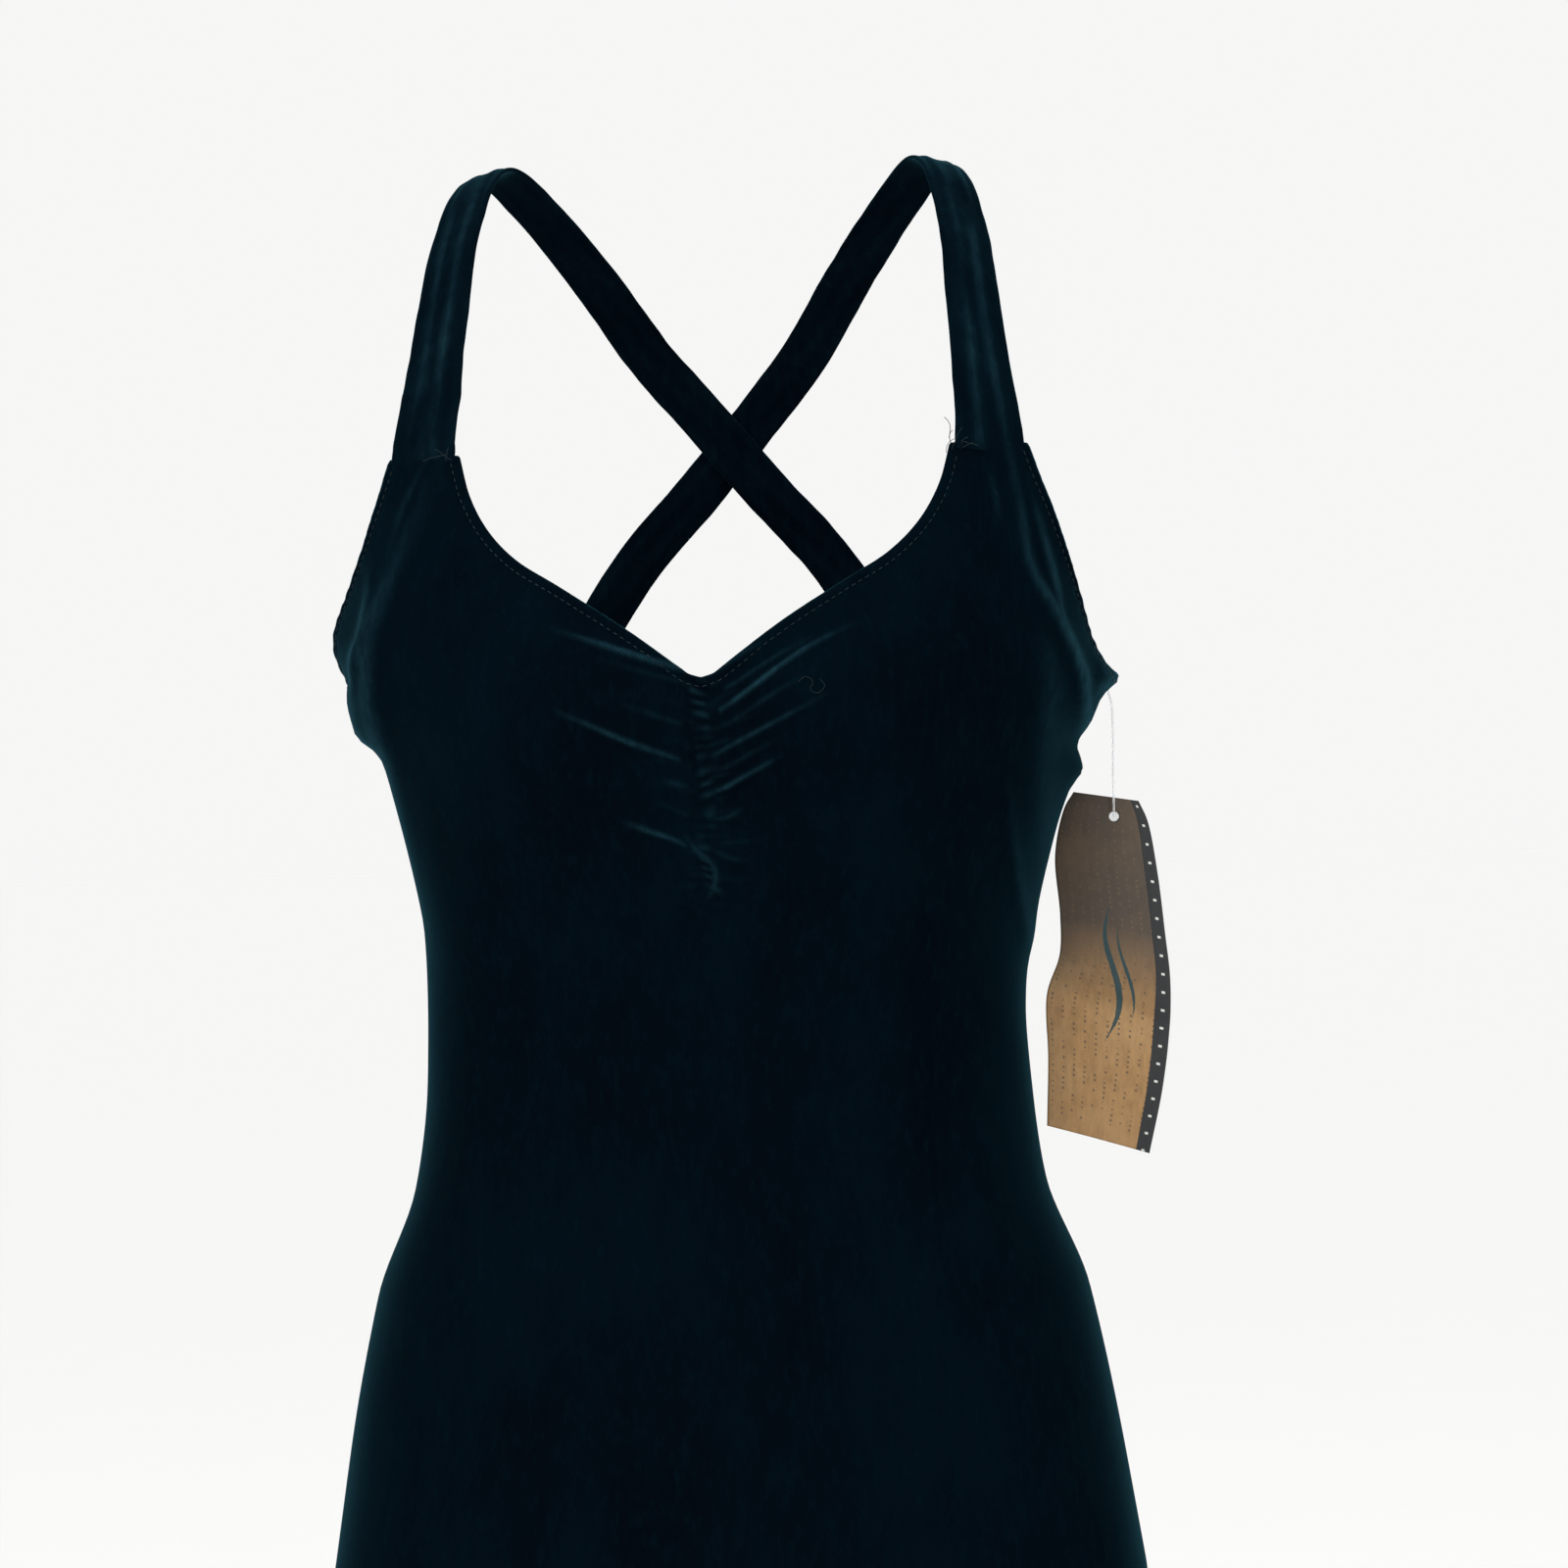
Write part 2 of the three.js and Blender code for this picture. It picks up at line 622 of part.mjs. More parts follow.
const velvet = new THREE.MeshStandardMaterial({ color: 0x04161f, roughness: 0.85, metalness: 0 });
const elastic = new THREE.MeshStandardMaterial({ color: 0x0a0c0f, roughness: 0.8, metalness: 0 });
const liningCloth = new THREE.MeshStandardMaterial({ color: 0x10141a, roughness: 0.6, metalness: 0 });
const cotton = new THREE.MeshStandardMaterial({ color: 0x14181c, roughness: 0.95, metalness: 0 });
const overlock = new THREE.MeshStandardMaterial({ color: 0x0b1218, roughness: 0.9, metalness: 0 });
const satin = new THREE.MeshStandardMaterial({ color: 0xe9e6dc, roughness: 0.45, metalness: 0 });
const nylon = new THREE.MeshStandardMaterial({ color: 0xf2f4f5, roughness: 0.3, metalness: 0 });
const kraft = new THREE.MeshStandardMaterial({ color: 0xa9875c, roughness: 0.8, metalness: 0 });

const leotard = new THREE.Group();

function place(name, body, material) {
  const { vertProperties, triVerts, numProp } = body.getMesh();
  const geometry = new THREE.BufferGeometry();
  geometry.setAttribute("position", new THREE.BufferAttribute(vertProperties, numProp));
  geometry.setIndex(new THREE.BufferAttribute(triVerts, 1));
  const mesh = new THREE.Mesh(geometry, material);
  mesh.name = name;
  leotard.add(mesh);
}

// A piece and its mirror image on the wearer's right.
function placePair(name, body, material) {
  place(name + "_left", body, material);
  place(name + "_right", body.mirror([1, 0, 0]), material);
}

place("front_panel", frontPanel(), velvet);
place("back_panel", backPanel(), velvet);
place("neck_elastic_front", frontNeckElastic(), elastic);
place("neck_elastic_back", backNeckElastic(), elastic);
place("pinch_elastic", pinchElastic(), elastic);
place("bust_lining", bustLining(), liningCloth);
place("underbust_elastic", underbustElastic(), elastic);
place("gusset_lining", gussetLining(), cotton);
place("size_label", sizeLabel(), satin);
place("care_label", careLabel(), satin);
placePair("leg_elastic", leftLegElastic(), elastic);
placePair("side_seam", leftSideSeam(), overlock);

const armhole = leftArmholeElastic();
place("armhole_elastic_left", armhole.subtract(pierceHole()), elastic);
place("armhole_elastic_right", armhole.mirror([1, 0, 0]), elastic);

// The left strap passes outside the right one where they cross.
const crossing = STRAP.thick / 2 + STRAP.cross;
const strapLeft = strapStations(crossing);
const strapRight = strapStations(-crossing);
place("strap_left", strapTube(strapLeft), velvet);
place("strap_right", strapTube(strapRight).mirror([1, 0, 0]), velvet);
place("strap_elastic_left", strapElastic(strapLeft), elastic);
place("strap_elastic_right", strapElastic(strapRight).mirror([1, 0, 0]), elastic);

place("hang_tag", hangTag(), kraft);
place("tag_barb", tagBarb(), nylon);

export default leotard;
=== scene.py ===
"""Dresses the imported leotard: velvet, straps, elastics, lining, seams, labels, thread and hang tag.

The wearer faces -Y, up is +Z, and the wearer's left is +X. Shapes are worked out in millimetres.
"""

import math

import bmesh
import bpy
import numpy as np
from bpy.props import FloatProperty, FloatVectorProperty, PointerProperty
from mathutils import Matrix, Vector
from mathutils.kdtree import KDTree


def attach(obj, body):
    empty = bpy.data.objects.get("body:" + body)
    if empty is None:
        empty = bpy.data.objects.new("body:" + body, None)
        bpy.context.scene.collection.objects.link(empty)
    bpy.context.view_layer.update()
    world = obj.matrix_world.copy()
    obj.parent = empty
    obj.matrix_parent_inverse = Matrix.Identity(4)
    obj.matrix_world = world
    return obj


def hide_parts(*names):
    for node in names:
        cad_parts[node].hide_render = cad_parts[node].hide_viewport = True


bl_info = {
    "name": "Velvet leotard",
    "version": (1, 0, 0),
    "blender": (4, 5, 0),
    "location": "3D View > Sidebar > Leotard",
    "description": "Makes a velvet leotard with crossed straps and a hang tag",
    "category": "Add Mesh",
}

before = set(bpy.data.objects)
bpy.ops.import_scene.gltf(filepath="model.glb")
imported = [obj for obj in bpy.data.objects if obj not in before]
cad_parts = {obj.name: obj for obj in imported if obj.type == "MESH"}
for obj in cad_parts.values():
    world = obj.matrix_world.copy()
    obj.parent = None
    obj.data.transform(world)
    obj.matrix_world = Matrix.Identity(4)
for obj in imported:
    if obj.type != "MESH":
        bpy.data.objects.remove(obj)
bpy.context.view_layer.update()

MM = 0.001
FRONT, BACK = -1, 1

# ---- The torso that the cloth follows, in millimetres -------------------------------------------

STRAP_JOIN_Z = -117
BACK_TAB_Z = -191
UNDERARM_Z = -206
NECK_POINT_Z = -207
BUST_Z = -222
BACK_SCOOP_Z = -252
UNDERBUST_Z = -290
SEAT_Z = -540
LEG_SIDE_Z = -580
CROTCH_Z = -652
BOWL = LEG_SIDE_Z - CROTCH_Z
SECTION_POWER = 2.3

STRAP_INNER_X, STRAP_OUTER_X = 95.5, 125.5
STRAP_THICK = 2.8
BACK_TAB_X, BACK_TAB_HALF = 66, 11
CROTCH_HALF = 37
SIDE = math.pi / 2  # the girth angle of a side seam; 0 is the centre line

# How far the inner layers lie under the velvet's outer face, and how thick two of them are.
ELASTIC_UNDER, OVERLOCK_UNDER, LINING_UNDER, UNDERBUST_UNDER = 1.55, 1.6, 2.65, 3.55
ELASTIC_THICK, LINING_THICK = 0.8, 0.6

FULL_CREASE = 2.2  # a fold this high and narrow shows the whole painted crease highlight
HEM_STEP = 0.7  # spacing of the points that distances from a hem are taken to

# Each row: height, half width, depth in front, depth behind.
STATIONS = np.array(
    [
        (-87, 146, 70, 83),
        (-117, 150, 82, 88),
        (-166, 152, 95, 92),
        (-206, 152, 104, 93),
        (-236, 138, 104, 92),
        (-290, 124, 94, 85),
        (-347, 119, 82, 78),
        (-407, 125, 85, 89),
        (-450, 141, 90, 100),
        (-560, 161, 92, 108),
        (-580, 162, 91, 107),
    ],
    float,
)


def girth_at(z, column):
    """A smooth value of one column of STATIONS at each height."""
    rows = STATIONS[::-1]
    heights, values = rows[:, 0], rows[:, column]
    last = len(heights) - 1
    z = np.clip(z, heights[0], heights[-1])
    k = np.clip(np.searchsorted(heights, z, side="right") - 1, 0, last - 1)
    slope = np.empty(last + 1)
    slope[1:-1] = (values[2:] - values[:-2]) / (heights[2:] - heights[:-2])
    slope[0] = (values[1] - values[0]) / (heights[1] - heights[0])
    slope[-1] = (values[-1] - values[-2]) / (heights[-1] - heights[-2])
    span = heights[k + 1] - heights[k]
    s = (z - heights[k]) / span
    return (
        (2 * s**3 - 3 * s**2 + 1) * values[k]
        + (s**3 - 2 * s**2 + s) * span * slope[k]
        + (3 * s**2 - 2 * s**3) * values[k + 1]
        + (s**3 - s**2) * span * slope[k + 1]
    )


def bell(distance, width):
    return np.exp(-(distance**2) / (2 * width**2))


def torso(girth, drop, facing):
    """Points on the bare form. girth is the angle round from the centre line. drop is the height,
    carried on round the bowl of the crotch as an arc."""
    girth, drop = np.broadcast_arrays(np.asarray(girth, float), np.asarray(drop, float))
    level = np.maximum(drop, LEG_SIDE_Z)
    turn = np.clip((LEG_SIDE_Z - drop) / BOWL, 0, SIDE)
    close = np.cos(turn)
    x = girth_at(level, 1) * np.sign(girth) * np.abs(np.sin(girth)) ** (2 / SECTION_POWER)
    share = np.abs(np.cos(girth)) ** (2 / SECTION_POWER)
    if facing == FRONT:
        full = 13 * (bell(x - 64, 34) + bell(x + 64, 34)) * bell(level - BUST_Z, 34)
        depth = girth_at(level, 2) + full
    else:
        full = 12 * (bell(x - 66, 40) + bell(x + 66, 40)) * bell(level - SEAT_Z, 48)
        depth = girth_at(level, 3) + full
    z = level - BOWL * np.sin(turn)
    return np.stack([x, facing * share * depth * close, z], axis=-1)


def to_cloth(points):
    """Girth and drop of points given as (x, z) on either half."""
    x, z = np.array(points, float).T
    level = np.maximum(z, LEG_SIDE_Z)
    share = np.clip(np.abs(x) / girth_at(level, 1), 0, 1) ** (SECTION_POWER / 2)
    turn = np.arcsin(np.clip((LEG_SIDE_Z - z) / BOWL, 0, 1))
    return np.sign(x) * np.arcsin(share), np.where(z < LEG_SIDE_Z, LEG_SIDE_Z - BOWL * turn, z)


def run_of(points):
    """Distance along a row of points."""
    return np.concatenate([[0], np.cumsum(np.linalg.norm(np.diff(points, axis=0), axis=1))])


# ---- Folds ---------------------------------------------------------------------------------------

# Each fold is a crest of (x, z, height) points, and its width. All are seen from the front.
GATHER_FOLDS = [
    ([(-62, -185, 0), (-42, -192, 1.5), (-22, -199, 2.3), (-6, -204, 1.3)], 1.3),
    ([(-44, -197, 0), (-26, -203, 0.7), (-9, -208, 0.8)], 1.35),
    ([(-60, -216, 0), (-44, -223, 1.3), (-26, -231, 1.9), (-9, -237, 1.3)], 1.3),
    ([(-38, -213, 0), (-22, -219, 0.7), (-8, -224, 0.8)], 1.3),
    ([(-19, -245, 0), (-12, -246, 1.0), (-6, -247, 0.8)], 1.1),
    ([(-34, -260, 0), (-22, -264, 1.9), (-8, -269, 1.4)], 1.35),
    ([(-22, -252, 0), (-14, -255, 0.6), (-7, -258, 0.7)], 1.35),
    ([(30, -191, 0), (18, -197, 1.0), (6, -204, 0.9)], 1.35),
    ([(48, -190, 0), (30, -199, 0.9), (10, -211, 1.0)], 1.1),
    ([(64, -185, 0), (42, -196, 1.6), (24, -208, 2.3), (8, -219, 1.5)], 1.3),
    ([(46, -204, 0), (30, -212, 0.8), (11, -224, 0.8)], 1.35),
    ([(54, -211, 0), (34, -221, 1.1), (14, -231, 1.5), (4, -236, 0.8)], 1.3),
    ([(34, -228, 0), (20, -235, 0.7), (8, -241, 0.8)], 1.35),
    ([(32, -236, 0), (20, -242, 1.6), (8, -248, 1.8), (0, -251, 0.9)], 1.35),
    ([(18, -255, 0), (9, -259, 1.1), (2, -260, 0.6)], 1.1),
    ([(20, -278, 0), (10, -275, 0.8), (3, -272, 0.7)], 1.1),
    ([(-7, -267, 0.8), (-3, -272, 1.4), (3, -279, 1.6), (2, -287, 1.3), (-2, -292, 0)], 1.9),
    ([(-16, -206, 0), (-24, -212, 0.6), (-40, -214, 0)], 3.5),
    ([(14, -208, 0), (30, -206, 0.6), (44, -200, 0)], 3.5),
]
SIDE_FOLDS = [
    ([(-101, -115, 0.5), (-117, -152, 1.8), (-130, -185, 3.2), (-133, -209, 3.4), (-129, -234, 3.2),
      (-124, -266, 2), (-119, -300, 0)], 5.5),
    ([(-133, -152, 0), (-132, -184, 2.0), (-136, -198, 0.6)], 2.4),
    ([(-134, -187, 0.6), (-138, -197, 3.2), (-143, -210, 1.2)], 3.0),
    ([(-139, -212, 0.5), (-140, -222, 2.6), (-134, -230, 0.6)], 3.2),
    ([(-108, -118, 0.6), (-118, -138, 1.0), (-124, -160, 0)], 2.0),
    ([(117, -116, 1.0), (121, -140, 1.5), (125, -166, 2.2), (134, -184, 2.8), (140, -200, 3.2),
      (143, -214, 3.2), (142, -228, 2.2), (139, -236, 0)], 2.6),
    ([(125, -133, 0), (130, -155, 1.8), (134, -174, 2.0), (135, -184, 0.6)], 2.0),
    ([(109, -124, 0), (112, -138, 1.2), (114, -152, 0)], 1.8),
    ([(126, -187, 0), (131, -206, 2.2), (127, -240, 2.2), (126, -288, 1), (126, -320, 0)], 6.0),
    ([(114, -244, 0), (117, -284, 1.6), (121, -312, 1.4), (124, -330, 0)], 2.6),
    ([(140, -236, 0.8), (139, -246, 2.2), (134, -256, 0.8)], 3.0),
    ([(150, -196, 1.0), (151, -208, 3.4), (147, -214, 1.0)], 2.6),
    ([(-122, -300, 0), (-117, -335, 0.9), (-119, -372, 0)], 5.0),
    ([(118, -340, 0), (120, -372, 0.9), (128, -410, 0)], 5.0),
]
BACK_FOLDS = [
    ([(66, -194, 0.8), (72, -214, 2.0), (84, -242, 1.4), (98, -280, 0)], 3.4),
    ([(60, -196, 0.6), (56, -216, 1.2), (58, -246, 0)], 2.6),
    ([(76, -196, 0.5), (88, -212, 1.2), (104, -232, 0)], 2.6),
    ([(110, -290, 0), (78, -326, 1.0), (34, -344, 0.7), (4, -340, 0)], 6.0),
    ([(116, -318, 0), (80, -352, 1.1), (40, -366, 0.6), (12, -362, 0)], 7.0),
    ([(30, -585, 0), (16, -612, 0.4), (8, -640, 0.2)], 5.0),
]

# How far the cloth stands out beyond the form at each side seam: rows of (z, out).
RIGHT_SIDE_OUT = [(-150, 0), (-168, 3), (-183, 7), (-190, 5), (-197, 0), (-203, -4), (-211, -1),
                  (-221, 1), (-226, 0), (-233, -5), (-250, -5), (-300, -1), (-360, 2), (-450, 3),
                  (-560, 3)]
LEFT_SIDE_OUT = [(-118, 0), (-135, -3), (-170, -5), (-192, -4), (-201, 0), (-207, 4), (-212, 2),
                 (-220, 2), (-232, 1), (-244, 7), (-251, 4), (-262, 3), (-284, 2), (-320, 0),
                 (-450, 1), (-560, 1)]


def smooth_line(points, pieces=150):
    """A centripetal curve through the points, as pieces + 1 rows."""
    p = np.array(points, float)
    p = np.vstack([2 * p[0] - p[1], p, 2 * p[-1] - p[-2]])
    spans = len(p) - 3
    place = np.linspace(0, spans, pieces + 1)
    k = np.minimum(place.astype(int), spans - 1)
    s = (place - k)[:, None]
    a, b, c, d = p[k], p[k + 1], p[k + 2], p[k + 3]

    def step(u, w):
        return np.maximum(np.linalg.norm(w - u, axis=1, keepdims=True), 1e-6) ** 0.5

    ab, bc, cd = step(a, b), step(b, c), step(c, d)
    out = ((b - a) / ab - (c - a) / (ab + bc) + (c - b) / bc) * bc
    back = ((c - b) / bc - (d - b) / (bc + cd) + (d - c) / cd) * bc
    return (
        (2 * s**3 - 3 * s**2 + 1) * b
        + (s**3 - 2 * s**2 + s) * out
        + (3 * s**2 - 2 * s**3) * c
        + (s**3 - s**2) * back
    )


def crest(x, z, line, width):
    """Height of one fold at each place, a narrow crest on a soft base, and the painted highlight
    along it.
    """
    rows = smooth_line(line, 6 * len(line))
    rise, glow = np.zeros_like(x), np.zeros_like(x)
    reach = 4 * width
    near = (
        (x > rows[:, 0].min() - reach)
        & (x < rows[:, 0].max() + reach)
        & (z > rows[:, 1].min() - reach)
        & (z < rows[:, 1].max() + reach)
    )
    if not near.any():
        return rise, glow
    at = np.stack([x[near], z[near]], axis=1)[:, None, :]
    a, b = rows[:-1, :2], rows[1:, :2]
    along = b - a
    t = np.clip(((at - a) * along).sum(2) / np.maximum((along**2).sum(1), 1e-9), 0, 1)
    gap = np.linalg.norm(at - (a + t[..., None] * along), axis=2)
    k = gap.argmin(axis=1)
    row = np.arange(len(k))
    tall = np.maximum(rows[k, 2] + t[row, k] * (rows[k + 1, 2] - rows[k, 2]), 0)
    d = gap[row, k]
    sharp, soft = np.exp(-((d / width) ** 2)), np.exp(-((d / (2.7 * width)) ** 2))
    rise[near] = tall * (0.62 * sharp + 0.38 * soft)
    line_of_light = np.exp(-((d / max(0.55 * width, 0.85)) ** 2))
    glow[near] = tall**1.7 / 1.75 * line_of_light * min(1.0, 1.7 / width) ** 1.2
    return rise, glow


def small_gathers():
    """The many short folds that run out from the gathered centre, the same each time."""
    rng = np.random.RandomState(5)
    folds = []
    for side in (-1, 1):
        z = NECK_POINT_Z - 3.0
        while z > -289:
            reach = rng.uniform(4, 15) if rng.rand() < 0.8 else rng.uniform(15, 26)
            lift = np.interp(z, [-290, -207], [-0.12, 0.42]) * reach * rng.uniform(0.6, 1.5)
            tall = rng.uniform(0.15, 0.7)
            start = rng.uniform(1.5, 4.5)
            line = [
                (side * start, z, tall * 0.8),
                (side * (start + reach * 0.4), z + lift * 0.5, tall),
                (side * (start + reach), z + lift, 0),
            ]
            folds.append((line, rng.uniform(0.9, 1.5)))
            z -= rng.uniform(1.8, 7.5)
    return folds


SMALL_GATHERS = small_gathers()


def gathered_centre(x, z):
    """The crumpled band down the centre front, with the cloth heaped up on each side of it."""
    fade = np.clip((NECK_POINT_Z + 3 - z) / 6, 0, 1) * np.clip((z + 296) / 10, 0, 1)
    x = x + 1.0 * np.sin(z / 9.0) + 0.02 * (z + 207)
    uneven = 0.7 + 0.3 * np.sin(z / 3.7 + 2 * np.sin(z / 11) + np.sign(x))
    heaped = 1.9 * bell(np.abs(x) - 7.4, 2.8) * uneven
    bend = 2.4 * np.sin(z / 7.3) + 1.3 * np.sin(z / 2.6 + 1) + 0.5 * x * np.sin(z / 12)
    waves = np.clip(0.5 + 0.5 * np.sin(2 * np.pi * z / 4.6 + bend), 0, 1)
    crumple = (1.0 + 0.7 * np.sin(z / 5.1 + x / 2)) * np.exp(-((x / 3.4) ** 4)) * waves**1.5
    # The second value is a painted highlight on the crumples.
    return fade * (heaped + crumple), fade * 0.5 * crumple


def slack(x, z):
    """A slight unevenness all over, as cloth has."""
    return 0.22 * (
        np.sin(x / 11 + z / 23)
        + np.sin(z / 17 - x / 29 + 1.3)
        + np.sin((x + z) / 13 + 0.6)
    )


def lie(x, y, z, facing):
    """How far the folds stand out at each place of the bare form, and the painted highlight on their
    crests.
    """
    # Round the side seams the front's folds run on a little way into the back.
    reach = 1.0 if facing == FRONT else np.exp(-((y / 13) ** 2))
    if facing == FRONT:
        folds = SIDE_FOLDS + GATHER_FOLDS + SMALL_GATHERS
        rise, glow = gathered_centre(x, z)
    else:
        folds = list(SIDE_FOLDS)
        for line, width in BACK_FOLDS:
            folds += [(line, width), ([(-px, pz, ph) for px, pz, ph in line], width * 0.9)]
        rise, glow = np.zeros_like(x), np.zeros_like(x)
    for k, (line, width) in enumerate(folds):
        share = reach if k < len(SIDE_FOLDS) else 1.0
        up, bright = crest(x, z, line, width)
        rise = rise + up * share
        glow = np.maximum(glow, bright * share)
    return rise, glow


def cloth(girth, drop, facing, inset=0.0, extra=0.0):
    """Points on the cloth's outer face, or inset inside it, folds and all."""
    girth, drop = np.broadcast_arrays(np.asarray(girth, float), np.asarray(drop, float))
    at = torso(girth, drop, facing)
    g = np.clip(girth, 0.03 - SIDE, SIDE - 0.03)
    across = torso(g + 0.01, drop, facing) - torso(g - 0.01, drop, facing)
    up = torso(g, drop + 0.8, facing) - torso(g, drop - 0.8, facing)
    out = -facing * np.cross(across, up)
    out /= np.maximum(np.linalg.norm(out, axis=-1, keepdims=True), 1e-9)
    x, y, z = at[..., 0], at[..., 1], at[..., 2]
    folds_scale = bpy.context.scene.leotard_cloth.fold_height
    rise, _ = lie(x, y, z, facing)
    rise = rise + slack(x, z) * np.clip(np.abs(np.cos(girth)) * 3, 0, 1)
    at = at + out * (folds_scale * rise + extra - inset)[..., None]
    for side, rows, reach in ((1, LEFT_SIDE_OUT, 24), (-1, RIGHT_SIDE_OUT, 40)):
        spread = np.exp(-((y / (reach if facing == FRONT else 18)) ** 2))
        line = smooth_line([(pz, out_by) for pz, out_by in rows], 60)[::-1]
        push = np.interp(z, line[:, 0], line[:, 1])
        at[..., 0] += side * push * spread * (np.sign(x) == side)
    return at


# ---- Cut lines, as (x, z) on the wearer's left ---------------------------------------------------


FRONT_NECK = np.vstack(
    [
        [(0, NECK_POINT_Z + 0.6)],
        smooth_line([(5, -205), (26, -189), (54, -170.5), (72, -159), (83, -147.5), (91, -133),
                     (STRAP_INNER_X, STRAP_JOIN_Z)]),
    ]
)
FRONT_ARM = smooth_line([(STRAP_OUTER_X, STRAP_JOIN_Z), (130, -130), (135.5, -144), (146, -176),
                         (152, UNDERARM_Z)])
BACK_NECK = smooth_line([(0, BACK_SCOOP_Z), (26, -246), (48, -217),
                         (BACK_TAB_X - BACK_TAB_HALF, BACK_TAB_Z)])
BACK_ARM = smooth_line([(BACK_TAB_X + BACK_TAB_HALF, BACK_TAB_Z), (100, -204), (128, -207),
                        (152, UNDERARM_Z)])


def leg_line(inner, outer):
    """From the crotch out to the side seam, widening all the way."""
    narrow = [(CROTCH_HALF + wide, CROTCH_Z + up) for wide, up in
              ((-1.5, 0), (-0.6, 0.5), (1.2, 2), (4, 5), (10, 0.38 * inner), (25, inner))]
    return smooth_line(narrow + [(132, LEG_SIDE_Z - outer), (162, LEG_SIDE_Z)], 250)


FRONT_LEG, BACK_LEG = leg_line(34, 6), leg_line(22, 12)


def measured(line, facing):
    """A cut line as girth, drop and the distance along it."""
    girth, drop = to_cloth(line)
    at = torso(girth, drop, facing)
    return girth, drop, run_of(at)


def along(line, facing, share):
    """Girth and drop at shares of the way along a cut line."""
    girth, drop, run = measured(line, facing)
    place = np.asarray(share) * run[-1]
    return np.stack([np.interp(place, run, girth), np.interp(place, run, drop)], axis=-1)


def side_seam(top, bottom):
    return np.array([(girth_at(z, 1), z) for z in np.linspace(top, bottom, 60)])


def mirrored(line):
    return [(-x, z) for x, z in line]


def both_halves(line):
    return np.vstack([mirrored(line[::-1]), [p for p in line if p[0] > 0]])


class Cut:
    """One half of a panel, stretched between its four edges."""

    def __init__(self, facing, neck, arm, leg, low=None):
        self.facing, self.neck, self.arm, self.leg = facing, neck, arm, leg
        self.top = np.vstack([neck, [arm[0]]])
        seam_low = LEG_SIDE_Z if low is None else low
        self.outer = np.vstack([arm, side_seam(UNDERARM_Z, seam_low)[1:]])
        if low is None:
            self.bottom = np.vstack([[(0, CROTCH_Z)], leg])
        else:
            self.bottom = np.array([(girth_at(low, 1) * s, low) for s in np.linspace(0, 1, 40)])
        self.centre = np.array([(0, z) for z in np.linspace(neck[0][1], self.bottom[0][1], 120)])

    def at(self, across, down):
        """Girth and drop at shares of the way across and down, either half."""
        u, v = np.abs(across)[:, None], np.asarray(down)[:, None]
        top, bottom = (along(e, self.facing, u[:, 0]) for e in (self.top, self.bottom))
        centre, outer = (along(e, self.facing, v[:, 0]) for e in (self.centre, self.outer))
        corner = [along(e, self.facing, s) for e, s in
                  ((self.top, 0), (self.top, 1), (self.bottom, 0), (self.bottom, 1))]
        mixed = (
            (1 - v) * top + v * bottom + (1 - u) * centre + u * outer
            - (1 - u) * (1 - v) * corner[0] - u * (1 - v) * corner[1]
            - (1 - u) * v * corner[2] - u * v * corner[3]
        )
        return np.sign(across) * mixed[:, 0], mixed[:, 1]

    def hems(self):
        """The neck, both arms and both legs."""
        return [both_halves(self.neck), self.arm, mirrored(self.arm), self.leg, mirrored(self.leg)]


FRONT_CUT = Cut(FRONT, FRONT_NECK, FRONT_ARM, FRONT_LEG)
BACK_CUT = Cut(BACK, BACK_NECK, BACK_ARM, BACK_LEG)
LINING_CUT = Cut(FRONT, FRONT_NECK, FRONT_ARM, FRONT_LEG, low=UNDERBUST_Z)


def graded(length, *stops):
    """Shares along a length of cloth, spaced as (place, spacing) stops say, all in millimetres."""
    place = np.linspace(0, length, 4000)
    count = np.cumsum(1 / np.interp(place, *zip(*stops)))
    count = (count - count[0]) / (count[-1] - count[0])
    steps = round(length / 4000 * (1 / np.interp(place, *zip(*stops))).sum())
    return np.interp(np.linspace(0, 1, steps + 1), count, place) / length


def strip_frame(line, facing):
    """Places along a cut line as girth and drop, and the direction into the cloth at each."""
    g, d = to_cloth(line)
    e = 0.004
    gc = np.clip(g, 0.02 - SIDE, SIDE - 0.02)
    further, nearer = torso(gc + e, d, facing), torso(gc - e, d, facing)
    per_girth = np.linalg.norm(further - nearer, axis=-1) / (2 * e)
    per_drop = np.linalg.norm(torso(gc, d + 0.5, facing) - torso(gc, d - 0.5, facing), axis=-1)
    run = np.gradient(g) * per_girth, np.gradient(d) * per_drop
    size = np.maximum(np.hypot(*run), 1e-9)
    into = np.stack([run[1] / size / per_girth, -run[0] / size / per_drop], axis=1)
    return np.stack([g, d], axis=1), into


def edge_tree(facing, lines):
    """Finds how far a point of the cloth is from the nearest hem, and how far along."""
    points = []
    for line in lines:
        at = torso(*to_cloth(line), facing)
        run = run_of(at)
        steps = np.arange(0, run[-1], HEM_STEP)
        points += [tuple(np.interp(s, run, at[:, i]) for i in range(3)) for s in steps]
    tree = KDTree(len(points))
    for i, p in enumerate(points):
        tree.insert(p, i)
    tree.balance()
    return tree


